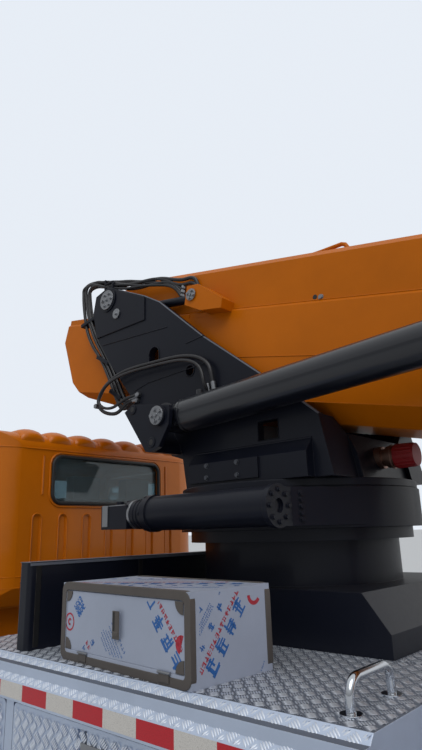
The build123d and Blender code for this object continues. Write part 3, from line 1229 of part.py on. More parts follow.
# Grab handle: chromed bow on two round feet, screwed to the deck
HANDLE_X = 1164
HANDLE_Y = (DECK_HALF - 145, DECK_HALF - 356)
HANDLE_RADIUS = 12
HANDLE_HEIGHT = 76
with BuildPart() as grab_handle:
    with BuildLine(Plane.YZ.offset(HANDLE_X)) as bow:
        FilletPolyline((HANDLE_Y[1], DECK_TOP + 2), (HANDLE_Y[1], DECK_TOP + HANDLE_HEIGHT),
                       (HANDLE_Y[0], DECK_TOP + HANDLE_HEIGHT), (HANDLE_Y[0], DECK_TOP + 2), radius=40)
    with BuildSketch(Plane(origin=(HANDLE_X, HANDLE_Y[1], DECK_TOP + 2), z_dir=(0, 0, 1))):
        Circle(HANDLE_RADIUS)
    sweep(path=bow.wire())
    for foot_y in HANDLE_Y:
        bar_z(HANDLE_X, foot_y, 27, DECK_TOP, DECK_TOP + 5)
grab_handle.part.label = "grab_handle"
export_step(grab_handle.part, "parts/grab_handle.step")
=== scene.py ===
import math
import random

import bmesh
import bpy
from mathutils import Matrix, Vector


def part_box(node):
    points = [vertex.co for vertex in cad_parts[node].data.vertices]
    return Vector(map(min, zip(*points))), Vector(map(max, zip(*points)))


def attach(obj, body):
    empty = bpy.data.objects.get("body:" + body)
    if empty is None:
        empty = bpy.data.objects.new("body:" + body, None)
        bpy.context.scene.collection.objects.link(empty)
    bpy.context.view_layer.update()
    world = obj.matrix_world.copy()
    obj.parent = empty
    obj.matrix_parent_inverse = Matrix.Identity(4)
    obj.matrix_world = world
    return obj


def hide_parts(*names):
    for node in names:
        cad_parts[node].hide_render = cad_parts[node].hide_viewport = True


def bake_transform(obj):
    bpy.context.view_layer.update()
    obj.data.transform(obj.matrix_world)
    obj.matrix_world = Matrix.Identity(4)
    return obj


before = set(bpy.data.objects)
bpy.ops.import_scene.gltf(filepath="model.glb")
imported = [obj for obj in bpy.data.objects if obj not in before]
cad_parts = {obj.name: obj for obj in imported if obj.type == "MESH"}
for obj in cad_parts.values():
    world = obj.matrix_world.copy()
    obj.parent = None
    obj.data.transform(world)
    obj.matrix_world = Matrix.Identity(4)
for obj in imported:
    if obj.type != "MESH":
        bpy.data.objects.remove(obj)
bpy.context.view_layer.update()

# View
# The photographer stands on the ground left of the deck, at eye height, and looks up and
# across the turret. Yaw turns from the truck's front towards its right side.
EYE = Vector((0.405, 2.35, 1.6))
YAW, PITCH, ROLL = (math.radians(angle) for angle in (48.03, 15.64, -1.633))
LENS = 27.1
X_AXIS, Y_AXIS, Z_AXIS = Vector((1, 0, 0)), Vector((0, 1, 0)), Vector((0, 0, 1))
look = Vector((math.cos(YAW) * math.cos(PITCH), -math.sin(YAW) * math.cos(PITCH), math.sin(PITCH)))
right = look.cross(Z_AXIS).normalized()
above = right.cross(look)
tilted_right = right * math.cos(ROLL) + above * math.sin(ROLL)
tilted_up = above * math.cos(ROLL) - right * math.sin(ROLL)
camera = bpy.data.objects.new("camera", bpy.data.cameras.new("camera"))
camera.data.lens = LENS
camera.data.sensor_width = 36
camera.data.clip_start = 0.05
camera.matrix_world = Matrix.Translation(EYE) @ Matrix((tilted_right, tilted_up, -look)).transposed().to_4x4()
bpy.context.scene.collection.objects.link(camera)
bpy.context.scene.camera = camera
bpy.context.scene.view_settings.view_transform = "Standard"


# Studio
# A plain pale floor under an even pale surround. The surround shows at full strength to the eye and
# through glass. It lights the truck more softly from above, with a broad lamp from the viewer's left.
SURROUND = (0.8, 0.85, 0.92, 1)
SKY_TINT = (0.94, 0.97, 1, 1)
SKY_GRADE = (-0.4, 0.9, 0.06, 0.8)  # two heights on the sky's sphere, and its strength at each
FLOOR_GREY = (0.5, 0.51, 0.52, 1)
FLOOR_REACH = 400


def feed(tree, node, **settings):
    """Sets a node up; in_N or in_Name gives that input's value or source."""
    for label, value in settings.items():
        if not label.startswith("in_"):
            setattr(node, label, value)
            continue
        key = label[3:].replace("_", " ")
        socket = node.inputs[int(key) if key.isdigit() else key]
        if isinstance(value, bpy.types.NodeSocket):
            tree.links.new(value, socket)
        else:
            socket.default_value = value
    return node


def add_node(tree, kind, **settings):
    """New node, set up."""
    return feed(tree, tree.nodes.new(kind), **settings)


def made(tree, kind, **settings):
    """First output of a new node."""
    return add_node(tree, kind, **settings).outputs[0]


def maths(tree, operation, *values):
    """Result of a maths node."""
    return made(tree, "ShaderNodeMath", operation=operation, **{f"in_{n}": v for n, v in enumerate(values)})


def graded(tree, value, *limits):
    """Value taken from one range to another: least and most before, then least and most after."""
    return made(tree, "ShaderNodeMapRange", in_0=value, **{f"in_{n + 1}": v for n, v in enumerate(limits)})


def new_material(name):
    """Empty material, its node tree and its shader."""
    material = bpy.data.materials.new(name)
    material.use_nodes = True
    return material, material.node_tree, material.node_tree.nodes["Principled BSDF"]


world = bpy.data.worlds.new("surround")
world.use_nodes = True
bpy.context.scene.world = world
sky = world.node_tree
sky.nodes.clear()
sky_ray = add_node(sky, "ShaderNodeLightPath").outputs
sky_way = add_node(sky, "ShaderNodeTexCoord").outputs["Generated"]
sky_height = add_node(sky, "ShaderNodeSeparateXYZ", in_0=sky_way).outputs["Z"]
sky_strength = graded(sky, sky_height, *SKY_GRADE)
sky_lit = made(sky, "ShaderNodeBackground", in_Color=SKY_TINT, in_Strength=sky_strength)
sky_seen = made(sky, "ShaderNodeBackground", in_Color=SURROUND)
sky_direct = maths(sky, "MAXIMUM", sky_ray["Is Camera Ray"], sky_ray["Is Transmission Ray"])
sky_mix = made(sky, "ShaderNodeMixShader", in_0=sky_direct, in_1=sky_lit, in_2=sky_seen)
add_node(sky, "ShaderNodeOutputWorld", in_Surface=sky_mix)


def studio_lamp(name, direction, power, spread):
    """Broad distant lamp that shines along a direction."""
    lamp = bpy.data.objects.new(name, bpy.data.lights.new(name, "SUN"))
    lamp.data.energy = power
    lamp.data.angle = math.radians(spread)
    lamp.rotation_euler = Vector(direction).to_track_quat("-Z", "Y").to_euler()
    bpy.context.scene.collection.objects.link(lamp)


studio_lamp("key_lamp", (0.5, -0.62, -1.0), 1.1, 50)
studio_lamp("fill_lamp", (0.75, 0.9, -0.55), 0.45, 70)

floor = bpy.data.objects.new("floor", bpy.data.meshes.new("floor"))
floor_corners = [(x * FLOOR_REACH, y * FLOOR_REACH, 0) for x, y in ((-1, -1), (1, -1), (1, 1), (-1, 1))]
floor.data.from_pydata(floor_corners, [], [(0, 1, 2, 3)])
floor_finish, tree, shader = new_material("floor_pale")
feed(tree, shader, in_Base_Color=FLOOR_GREY, in_Roughness=0.8)
floor.data.materials.append(floor_finish)
bpy.context.scene.collection.objects.link(floor)


# Chassis
# Black painted channel rails, subframe, axles and springs, with a grey cast engine and two tanks.
# The paint is thin and dull, greyed by road dust where it faces up, and bare at worn corners.
SIDES = ((1, "left"), (-1, "right"))
CORNERS = [f"{end}_{side}" for end in ("front", "rear") for side in ("left", "right")]


def srgb(red, green, blue):
    """Linear colour of a screen colour given in 0 to 255."""
    return [((c / 255 + 0.055) / 1.055) ** 2.4 if c > 10 else c / 3294 for c in (red, green, blue)] + [1]


def group_tree(name, kind, entries, exits):
    """Node group with named inputs and outputs, each with its default value or its socket's kind."""
    tree = bpy.data.node_groups.new(name, kind)
    kinds = {float: "Float", int: "Int", tuple: "Color"}
    for direction, rows in (("INPUT", entries), ("OUTPUT", exits)):
        for label, value in rows.items():
            socket_type = "NodeSocket" + kinds.get(type(value), value if isinstance(value, str) else "")
            socket = tree.interface.new_socket(label, in_out=direction, socket_type=socket_type)
            if not isinstance(value, str):
                socket.default_value = value
    return tree, tree.nodes.new("NodeGroupInput").outputs, tree.nodes.new("NodeGroupOutput")


def object_place(tree):
    """Object coordinates."""
    return add_node(tree, "ShaderNodeTexCoord").outputs["Object"]


def noise(tree, place, scale, detail, rough=0.5):
    """Grey noise."""
    return add_node(tree, "ShaderNodeTexNoise", in_Vector=place, in_Scale=scale, in_Detail=detail,
                    in_Roughness=rough).outputs["Fac"]


def scaled(tree, vector, share):
    """Vector or colour times a number."""
    return made(tree, "ShaderNodeVectorMath", operation="SCALE", in_0=vector, in_Scale=share)


def mixed(tree, share, one, other):
    """Colour between two others."""
    return add_node(tree, "ShaderNodeMix", data_type="RGBA", in_0=share, in_6=one, in_7=other).outputs[2]


def bump(tree, height, strength, distance):
    """Normal of a fine relief."""
    return made(tree, "ShaderNodeBump", in_Strength=strength, in_Distance=distance, in_Height=height)


tree, asked, answer = group_tree(
    "weathered_coat", "ShaderNodeTree",
    {"Colour": (0.5, 0.5, 0.5, 1), "Worn": (0.3, 0.3, 0.3, 1), "Dust": (0.45, 0.42, 0.38, 1),
     "Wear Amount": 0.3, "Dust Amount": 0.2, "Roughness": 0.4, "Grain Scale": 300.0, "Grain Depth": 0.05,
     "Edge Radius": 0.004},
    {"Colour": "Color", "Roughness": "Float", "Normal": "Vector"})
place = object_place(tree)
patches = noise(tree, place, 2.3, 6.0, 0.6)
speckle = noise(tree, place, 38.0, 5.0, 0.7)
toned = scaled(tree, asked["Colour"], graded(tree, patches, 0.3, 0.7, 0.9, 1.08))
# Wear shows where corners are sharp, broken up by the speckle
rounded = made(tree, "ShaderNodeBevel", samples=4, in_Radius=asked["Edge Radius"])
facing = add_node(tree, "ShaderNodeNewGeometry").outputs["Normal"]
alike = add_node(tree, "ShaderNodeVectorMath", operation="DOT_PRODUCT", in_0=rounded, in_1=facing)
edge_worn = maths(tree, "MULTIPLY", graded(tree, alike.outputs["Value"], 0.995, 0.88, 0.0, 1.0),
                  graded(tree, speckle, 0.42, 0.6, 0.0, 1.0))
worn = maths(tree, "MULTIPLY", edge_worn, asked["Wear Amount"])
# Grime lies on what faces up and dulls it. On the tread plate and its bars this tint is a dark blue-grey:
# painted shade that darkens their tops
upward = add_node(tree, "ShaderNodeSeparateXYZ", in_0=facing).outputs["Z"]
upward_grime_and_shade = maths(tree, "MULTIPLY", graded(tree, upward, 0.74, 1.0, 0.12, 1.0),
              graded(tree, patches, 0.3, 0.7, 0.46, 0.55))
grime_and_shade = maths(tree, "MULTIPLY", upward_grime_and_shade, asked["Dust Amount"])
with_grime_and_shade = mixed(tree, grime_and_shade, toned, asked["Dust"])
duller = maths(tree, "MULTIPLY_ADD", grime_and_shade, 0.5, asked["Roughness"])
grain = noise(tree, place, asked["Grain Scale"], 2.0)
relief = made(tree, "ShaderNodeBump", in_Strength=asked["Grain Depth"], in_Distance=0.0008,
              in_Height=grain, in_Normal=rounded)
feed(tree, answer, in_Colour=mixed(tree, worn, with_grime_and_shade, asked["Worn"]),
     in_Roughness=maths(tree, "MULTIPLY_ADD", speckle, 0.1, duller), in_Normal=relief)
weather = tree


def coat(name, colour, worn, amounts, grain, metallic=0.0, gloss=0.0, edge=0.004, shine=0.5,
         grime_and_shade_colour=(180, 174, 166)):
    """Weathered finish. amounts holds roughness, wear and the upward tint, which is grime, and on the tread
    plate painted shade; grain holds its scale and depth.
    """
    material, tree, shader = new_material(name)
    surface = add_node(tree, "ShaderNodeGroup", node_tree=weather, in_Colour=srgb(*colour),
                       in_Worn=srgb(*worn), in_Dust=srgb(*grime_and_shade_colour), in_Roughness=amounts[0],
                       in_Wear_Amount=amounts[1], in_Dust_Amount=amounts[2], in_Grain_Scale=grain[0],
                       in_Grain_Depth=grain[1], in_Edge_Radius=edge).outputs
    feed(tree, shader, in_Base_Color=surface["Colour"], in_Roughness=surface["Roughness"],
         in_Normal=surface["Normal"], in_Metallic=metallic, in_Coat_Weight=gloss,
         in_Specular_IOR_Level=shine, in_Coat_Roughness=0.12)
    return material


def dress(material, *nodes):
    """Gives CAD nodes their finish."""
    for node in nodes:
        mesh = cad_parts[node].data
        mesh.materials.clear()
        mesh.materials.append(material)


chassis_paint = coat("chassis_black", (16, 16, 18), (92, 84, 78), (0.55, 0.4, 0.1), (220, 0.3), shine=0.3)
engine_paint = coat("engine_cast", (96, 99, 102), (120, 112, 100), (0.6, 0.3, 0.4), (160, 0.9))
dress(chassis_paint, "chassis_frame", "subframe", "front_axle", "rear_axle", "tanks")
dress(engine_paint, "engine_block")


def finish_piece(name, mesh, material, body, smooth=40):
    """Links a finished mesh as a piece of a body, shaded smooth below an angle; anything but a body's name
    only has its place baked into the mesh.
    """
    mesh.materials.clear()
    mesh.materials.append(material)
    mesh.polygons.foreach_set("use_smooth", [True] * len(mesh.polygons))
    mesh.set_sharp_from_angle(angle=math.radians(smooth))
    piece = bpy.data.objects.new(name, mesh)
    bpy.context.scene.collection.objects.link(piece)
    if isinstance(body, str):
        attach(piece, body)
    else:
        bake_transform(piece)
    return piece


SHARP = 0.6  # radians between faces from which an edge is rounded


def build(name, shape, material, body, soften=0.0, smooth=40):
    """Piece from a bmesh; soften rounds its sharp edges."""
    bmesh.ops.remove_doubles(shape, verts=shape.verts, dist=1e-6)
    bmesh.ops.recalc_face_normals(shape, faces=shape.faces)
    if soften > 0:
        sharp = [e for e in shape.edges if len(e.link_faces) == 2 and e.calc_face_angle() > SHARP]
        bmesh.ops.bevel(shape, geom=sharp, offset=soften, segments=2, affect="EDGES", clamp_overlap=True)
    mesh = bpy.data.meshes.new(name)
    shape.to_mesh(mesh)
    shape.free()
    return finish_piece(name, mesh, material, body, smooth)


def slab(shape, low, high):
    """Rectangular block between two corners."""
    low, high = Vector(low), Vector(high)
    block = bmesh.ops.create_cube(shape, size=1)
    size = Matrix.Diagonal((*(high - low), 1))
    bmesh.ops.transform(shape, matrix=Matrix.Translation((low + high) / 2) @ size, verts=block["verts"])


def turned(axis):
    """Rotation that takes +Z to an axis."""
    return Vector(axis).to_track_quat("Z", "Y").to_matrix().to_4x4()


def rod(shape, start, end, radius, sides=24, tip=None):
    """Round bar between two points; tip is the radius at its end where it tapers."""
    start, end = Vector(start), Vector(end)
    bar = bmesh.ops.create_cone(shape, cap_ends=True, segments=sides, radius1=radius,
                                radius2=radius if tip is None else tip, depth=(end - start).length)
    bmesh.ops.transform(shape, matrix=Matrix.Translation((start + end) / 2) @ turned(end - start),
                        verts=bar["verts"])


def skin(shape, loops, closed=False):
    """Solid through loops of like points; closed joins the last loop to the first in place of end faces."""
    rings = [[shape.verts.new(point) for point in loop] for loop in loops]
    count = len(rings[0])
    for here, there in zip(rings, rings[1:] + (rings[:1] if closed else [])):
        for index in range(count):
            after = (index + 1) % count
            shape.faces.new((here[index], here[after], there[after], there[index]))
    if not closed:
        shape.faces.new(rings[0][::-1])
        shape.faces.new(rings[-1])


def prism(shape, corners, thickness):
    """Plate from a loop of corner points, as thick as a vector says."""
    near = [shape.verts.new(Vector(c)) for c in corners]
    far = [shape.verts.new(Vector(c) + Vector(thickness)) for c in corners]
    shape.faces.new(near)
    shape.faces.new(far[::-1])
    for index in range(len(corners)):
        following = (index + 1) % len(corners)
        shape.faces.new((near[index], far[index], far[following], near[following]))


def bundle(tree, **parts):
    """Vector from X, Y and Z."""
    return made(tree, "ShaderNodeCombineXYZ", **{"in_" + axis: value for axis, value in parts.items()})


def set_out(tree, points, instance, turn, sizes):
    """Copies set on points and turned, made a real mesh that has the tree's finish."""
    copies = made(tree, "GeometryNodeInstanceOnPoints", in_Points=points, in_Instance=instance,
                  in_Rotation=turn)
    real = made(tree, "GeometryNodeRealizeInstances", in_Geometry=copies)
    return made(tree, "GeometryNodeSetMaterial", in_Geometry=real, in_Material=sizes["Finish"])


# Fasteners are hexagon heads with a washer, set by one tree on points that say which way they face
tree, sizes, answer = group_tree(
    "fasteners", "GeometryNodeTree",
    {"Geometry": "Geometry", "Head Radius": 0.012, "Head Height": 0.009, "Sides": 6, "Finish": "Material"},
    {"Geometry": "Geometry"})
facing_way = add_node(tree, "GeometryNodeInputNamedAttribute", data_type="FLOAT_VECTOR", in_Name="facing")
stand = made(tree, "FunctionNodeAlignRotationToVector", axis="Z",
             in_Vector=facing_way.outputs["Attribute"])
spin = add_node(tree, "FunctionNodeRandomValue", data_type="FLOAT", in_2=0.0, in_3=1.0, in_Seed=11)
turn_head = made(tree, "FunctionNodeRotateRotation", rotation_space="LOCAL", in_Rotation=stand,
                 in_1=bundle(tree, Z=spin.outputs[1]))
head_mesh = made(tree, "GeometryNodeMeshCylinder", in_Vertices=sizes["Sides"],
                 in_Radius=sizes["Head Radius"], in_Depth=sizes["Head Height"])
washer = made(tree, "GeometryNodeMeshCylinder", in_Vertices=16,
              in_Radius=maths(tree, "MULTIPLY", sizes["Head Radius"], 1.35),
              in_Depth=maths(tree, "MULTIPLY", sizes["Head Height"], 0.28))
head_lift = maths(tree, "MULTIPLY", sizes["Head Height"], 0.6)
raised_head = made(tree, "GeometryNodeTransform", in_Geometry=head_mesh,
                   in_Translation=bundle(tree, Z=head_lift))
both = add_node(tree, "GeometryNodeJoinGeometry", in_0=raised_head)
feed(tree, both, in_0=washer)
feed(tree, answer,
     in_Geometry=set_out(tree, sizes["Geometry"], both.outputs[0], turn_head, sizes))
fastener_tree = tree


def grow(name, tree, sizes, start=None):
    """Runs a geometry tree with named sizes on a start mesh and returns its plain mesh."""
    host = bpy.data.objects.new(name, start or bpy.data.meshes.new(name))
    bpy.context.scene.collection.objects.link(host)
    modifier = host.modifiers.new(name, "NODES")
    modifier.node_group = tree
    sockets = {s.name: s.identifier for s in tree.interface.items_tree if s.in_out == "INPUT"}
    for label, value in sizes.items():
        modifier[sockets[label]] = value
    bpy.context.view_layer.update()
    grown = bpy.data.meshes.new_from_object(host.evaluated_get(bpy.context.evaluated_depsgraph_get()))
    host.modifiers.clear()
    bpy.data.objects.remove(host)
    return grown


def fasteners(name, spots, radius, height, body, material, sides=6):
    """One piece of like bolt heads; each spot is a point and the way its head faces."""
    points = bpy.data.meshes.new(name)
    points.from_pydata([spot[0] for spot in spots], [], [])
    way = points.attributes.new("facing", "FLOAT_VECTOR", "POINT")
    way.data.foreach_set("vector", [c for spot in spots for c in Vector(spot[1]).normalized()])
    mesh = grow(name, fastener_tree, {"Head Radius": radius, "Head Height": height, "Sides": sides,
                                      "Finish": material}, points)
    return finish_piece(name, mesh, material, body)


plated = coat("plated_steel", (150, 152, 156), (120, 118, 112), (0.32, 0.3, 0.2), (400, 0.2), metallic=1.0,
              edge=0.001)
# Light grey paint for the beads on the dark turret plates' front edges and the cabinet's top lip: a painted
# highlight along those edges.
edge_paint = coat("edge_paint", (92, 96, 106), (130, 132, 138), (0.45, 0.3, 0.05), (200, 0.2), shine=0.4)
RAIL_REAR_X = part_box("chassis_frame")[0].x
RAIL_FACE_Y = 0.4005
BOLT_PITCH = 0.4
rail_bolts = []
for side in (1, -1):
    for step in range(20):
        bolt_x = RAIL_REAR_X + 0.25 + step * BOLT_PITCH
        for bolt_z in (0.575, 0.65):
            rail_bolts.append(((bolt_x, side * RAIL_FACE_Y, bolt_z), (0, side, 0)))
fasteners("rail_bolts", rail_bolts, 0.013, 0.01, "chassis", plated)


# Wheels
# Pressed steel disc wheels painted pale grey, in black truck tyres. Each tyre has four rows of
# moulded tread blocks on its crown and rings round its wall; it fills its CAD solid's outline.
TYRE_RADIUS = 0.425
RIM_RADIUS = 0.222
TYRE_HALF = 0.1125
GROOVE = 0.011
TREAD_BLOCKS = 44
AXLE_HEIGHT = 0.425
# Section from the rim to the tread's middle: distance from the tyre's middle plane, radius
TYRE_WALL = [(-TYRE_HALF + inset, RIM_RADIUS + rise) for inset, rise in (
    (0.008, 0), (0.001, 0.028), (0, 0.06), (0.004, 0.064), (0, 0.07), (0, 0.135), (0.003, 0.141))]
TYRE_WALL += [(-TYRE_HALF + 0.001, TYRE_RADIUS - 0.05), (-TYRE_HALF + 0.012, TYRE_RADIUS - 0.028),
              (-TYRE_HALF + 0.024, TYRE_RADIUS - GROOVE - 0.003), (-0.06, TYRE_RADIUS - GROOVE),
              (0.0, TYRE_RADIUS - GROOVE + 0.001)]
rubber, tree, shader = new_material("tyre_rubber")
place = object_place(tree)
worn_colour = mixed(tree, noise(tree, place, 7.0, 6.0), srgb(24, 24, 25), srgb(66, 62, 57))
feed(tree, shader, in_Base_Color=worn_colour,
     in_Normal=bump(tree, noise(tree, place, 260.0, 2.0), 0.3, 0.001), in_Roughness=0.78,
     in_Specular_IOR_Level=0.3)

tree, sizes, answer = group_tree(
    "tread_blocks", "GeometryNodeTree",
    {"Geometry": "Geometry", "Blocks": 44, "Radius": 0.4, "Row Pitch": 0.04, "Block Length": 0.04,
     "Block Width": 0.03, "Block Height": 0.012, "Finish": "Material"},
    {"Geometry": "Geometry"})
tread_rows = add_node(tree, "GeometryNodeJoinGeometry")
block_size = bundle(tree, X=sizes["Block Length"], Y=sizes["Block Width"], Z=sizes["Block Height"])
tread_block = made(tree, "GeometryNodeMeshCube", in_Size=block_size)
share = maths(tree, "DIVIDE", made(tree, "GeometryNodeInputIndex"), sizes["Blocks"])
for row, skew in enumerate((0.35, -0.2, 0.2, -0.35)):
    out_place = bundle(tree, Y=maths(tree, "MULTIPLY", sizes["Row Pitch"], row - 1.5), Z=sizes["Radius"])
    moved_block = made(tree, "GeometryNodeTransform", in_Geometry=tread_block, in_Translation=out_place,
                       in_Rotation=(0, 0, skew))
    circle = made(tree, "GeometryNodeMeshLine", in_Count=sizes["Blocks"], in_Offset=(0, 0, 0))
    angle = maths(tree, "MULTIPLY_ADD", share, 2 * math.pi, (row % 2) * math.pi / TREAD_BLOCKS)
    feed(tree, tread_rows,
         in_0=set_out(tree, circle, moved_block, bundle(tree, Y=angle), sizes))
feed(tree, answer, in_Geometry=tread_rows.outputs[0])
tread_tree = tree


def lathe(shape, profile, centre, axis, sides=72):
    """Closed ring turned about an axis from rows of distance along it and radius."""
    place_at = Matrix.Translation(centre) @ turned(axis)
    turns = [2 * math.pi * index / sides for index in range(sides)]
    skin(shape, [[place_at @ Vector((r * math.cos(turn), r * math.sin(turn), a)) for a, r in profile]
                 for turn in turns], closed=True)


def tyre(shape, wheel_x, wheel_y):
    """One tyre: its carcass and its tread blocks."""
    profile = TYRE_WALL + [(-a, r) for a, r in reversed(TYRE_WALL[:-1])]
    profile = profile + [(TYRE_HALF - 0.035, RIM_RADIUS - 0.0001), (-TYRE_HALF + 0.035, RIM_RADIUS - 0.0001)]
    lathe(shape, profile, (wheel_x, wheel_y, AXLE_HEIGHT), Y_AXIS)
    blocks = grow("tread", tread_tree, {
        "Blocks": TREAD_BLOCKS, "Radius": TYRE_RADIUS - 0.0095, "Row Pitch": 0.041, "Block Length": 0.046,
        "Block Width": 0.034, "Block Height": 0.018, "Finish": rubber})
    blocks.transform(Matrix.Translation((wheel_x, wheel_y, AXLE_HEIGHT)))
    shape.from_mesh(blocks)


front_low, front_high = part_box("tyre_front_left")
rear_low, rear_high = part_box("tyres_rear_left")
front_x = (front_low.x + front_high.x) / 2
rear_x = (rear_low.x + rear_high.x) / 2
for side, side_name in SIDES:
    front = bmesh.new()
    tyre(front, front_x, side * (front_low.y + front_high.y) / 2)
    piece = build(f"front_tyre_{side_name}", front, rubber, f"wheel_front_{side_name}")
    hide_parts(f"tyre_front_{side_name}")
    twins = bmesh.new()
    for twin_y in (rear_high.y - TYRE_HALF, rear_low.y + TYRE_HALF):
        tyre(twins, rear_x, side * twin_y)
    piece = build(f"rear_tyres_{side_name}", twins, rubber, f"wheels_rear_{side_name}")
    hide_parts(f"tyres_rear_{side_name}")
wheel_paint = coat("wheel_steel", (186, 188, 190), (120, 112, 100), (0.38, 0.5, 0.35), (200, 0.15),
                   metallic=0.2)
dress(wheel_paint, "wheel_front_left", "wheel_front_right", "wheels_rear_left", "wheels_rear_right")
dress(chassis_paint, "knuckle_left", "knuckle_right")


# Cab
# Pressed steel cab in orange gloss enamel with a small rear window in a black rubber seal.
# Doors carry their own panes; the inside is dark cloth and plastic.
orange_paint = coat("orange_paint", (198, 106, 0), (176, 112, 40), (0.3, 0.25, 0.02), (90, 0.05), gloss=0.25,
                    shine=0.25)
dress(orange_paint, "cab_shell", "cab_door_left", "cab_door_right")
cloth, tree, shader = new_material("cab_trim")
weave = add_node(tree, "ShaderNodeTexChecker", in_Vector=object_place(tree), in_Scale=260.0,
                 in_Color1=srgb(38, 39, 44), in_Color2=srgb(52, 53, 60)).outputs
feed(tree, shader, in_Base_Color=weave["Color"], in_Normal=bump(tree, weave["Fac"], 0.4, 0.001),
     in_Roughness=0.85)
dress(cloth, "cab_interior")

glass, tree, shader = new_material("window_glass")
film = noise(tree, object_place(tree), 3.0, 4.0)
feed(tree, shader, in_Roughness=graded(tree, film, 0.4, 0.7, 0.02, 0.1), in_Base_Color=srgb(150, 170, 176),
     in_Transmission_Weight=0.85, in_IOR=1.45)
dress(glass, "cab_glass")

# Black rubber for seals, plugs, bolts and wipers; also the black of the ear holes and of the chest latch's
# recess, where it is painted shade.
seal_rubber_and_shade = coat("seal_rubber_and_shade", (22, 22, 24), (50, 50, 50), (0.5, 0.1, 0.25), (300, 0.2))
CAB_REAR_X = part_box("cab_shell")[0].x
REAR_WINDOW = (0.43, 1.8, 2.082, 0.06)  # half width, low and high edge, corner radius


def round_loop(half_y, low_z, high_z, radius, steps=8):
    """Points (y, z) round a rectangle with round corners."""
    points = []
    reach_y, top_z, bottom_z = half_y - radius, high_z - radius, low_z + radius
    for centre_y, centre_z, start in ((reach_y, top_z, 0), (-reach_y, top_z, 1), (-reach_y, bottom_z, 2),
                                      (reach_y, bottom_z, 3)):
        for step in range(steps + 1):
            around = math.pi / 2 * (start + step / steps)
            points.append((centre_y + radius * math.cos(around), centre_z + radius * math.sin(around)))
    return points


def tube_loop(shape, points, radius, closed, sides=10):
    """Tube along a list of points."""
    points = [Vector(p) for p in points]
    count = len(points)
    loops = []
    side_way = None
    for index, point in enumerate(points):
        after = points[(index + 1) % count] if closed or index < count - 1 else point
        before = points[index - 1] if closed or index > 0 else point
        way = (after - before).normalized()
        if side_way is None:
            side_way = way.orthogonal().normalized()
        side_way = (side_way - way * side_way.dot(way)).normalized()
        up_way = way.cross(side_way)
        loops.append([point + radius * (side_way * math.cos(2 * math.pi * s / sides)
                                        + up_way * math.sin(2 * math.pi * s / sides)) for s in range(sides)])
    skin(shape, loops, closed)


def bead(shape, points, radius=0.003, closed=False):
    """Weld bead or pressed line along a list of points."""
    tube_loop(shape, points, radius, closed, sides=6)


seal = bmesh.new()
half, low, high, corner = REAR_WINDOW
tube_loop(seal, [(CAB_REAR_X - 0.001, y, z) for y, z in round_loop(half, low, high, corner)], 0.012, True)
build("rear_window_seal", seal, seal_rubber_and_shade, "chassis")

DOOR_Y = 0.879
PANE_SEAL_Y = 0.9005
PANE = [(3.782, 1.562), (3.782, 2.023), (4.568, 2.023), (4.757, 1.562)]
for side, side_name in SIDES:
    pane = bmesh.new()
    prism(pane, [(x, side * (DOOR_Y + 0.003), z) for x, z in PANE], (0, -side * 0.006, 0))
    build(f"door_pane_{side_name}", pane, glass, f"cab_door_{side_name}")
    pane_seal = bmesh.new()
    tube_loop(pane_seal, [(x, side * PANE_SEAL_Y, z) for x, z in PANE], 0.009, True)
    build(f"door_pane_seal_{side_name}", pane_seal, seal_rubber_and_shade, f"cab_door_{side_name}")

# Gutter fold round the roof, sill fold, flutes in the back wall and the rear window's surround
CAB_HALF = 0.9
REAR_ROUND = 0.29
SKIN_X = CAB_REAR_X - 0.001
SILL_FRONT_X = 3.7
FLUTES, FLUTE_PITCH, FLUTE_HALF = 7, 0.175, 0.031
gutter = bmesh.new()
gutter_route = [(4.56, CAB_HALF + 0.001)] + [
    (SKIN_X + REAR_ROUND * (1 - math.cos(math.radians(a))),
     CAB_HALF + 0.001 - REAR_ROUND * (1 - math.sin(math.radians(a)))) for a in range(90, -1, -10)]
sill_route = [(x, y) for x, y in gutter_route if x < SILL_FRONT_X]
for side in (1, -1):
    bead(gutter, [(x, side * y, 2.118) for x, y in gutter_route] + [(SKIN_X, 0, 2.118)], 0.005)
    bead(gutter, [(x, side * y, 1.395) for x, y in sill_route] + [(SKIN_X, 0, 1.362)], 0.003)
for flute in range(FLUTES):
    flute_y = (flute - FLUTES // 2) * FLUTE_PITCH
    outline = [(CAB_REAR_X - 0.0005, flute_y + y, z)
               for y, z in round_loop(FLUTE_HALF, 1.362, 1.738, FLUTE_HALF)]
    bead(gutter, outline, 0.0045, closed=True)
for side in (1, -1):
    bead(gutter, [(CAB_REAR_X - 0.0005, side * 0.5, z) for z in (1.85, 2.075)], 0.007)
    bead(gutter, [(x + 0.001, side * (y - 0.0008), 1.336) for x, y in sill_route], 0.004)
build("cab_folds", gutter, orange_paint, "chassis", smooth=60)
window_fold = bmesh.new()
fold_loop = round_loop(half + 0.022, low - 0.022, high + 0.022, corner + 0.02)
bead(window_fold, [(SKIN_X, y, z) for y, z in fold_loop], 0.006, closed=True)
build("rear_window_fold", window_fold, orange_paint, "chassis", smooth=60)


def ridge(shape, y, route, half_width, height):
    """Pressed rib along a route of x and z; its ends fade into the sheet."""
    loops = []
    for index, (x, z) in enumerate(route):
        before, after = Vector(route[max(index - 1, 0)]), Vector(route[min(index + 1, len(route) - 1)])
        way = (after - before).normalized()
        out = Vector((way.y, -way.x)) if way.x < 0 else Vector((-way.y, way.x))
        share = min(1.0, index / 3, (len(route) - 1 - index) / 3)
        high = height * math.sin(share * math.pi / 2)
        loop = []
        for step in range(9):
            around = math.pi * step / 8
            rise = out * (high * math.sin(around) - 0.001)
            loop.append((x + rise.x, y + half_width * math.cos(around), z + rise.y))
        loops.append(loop)
    skin(shape, loops)


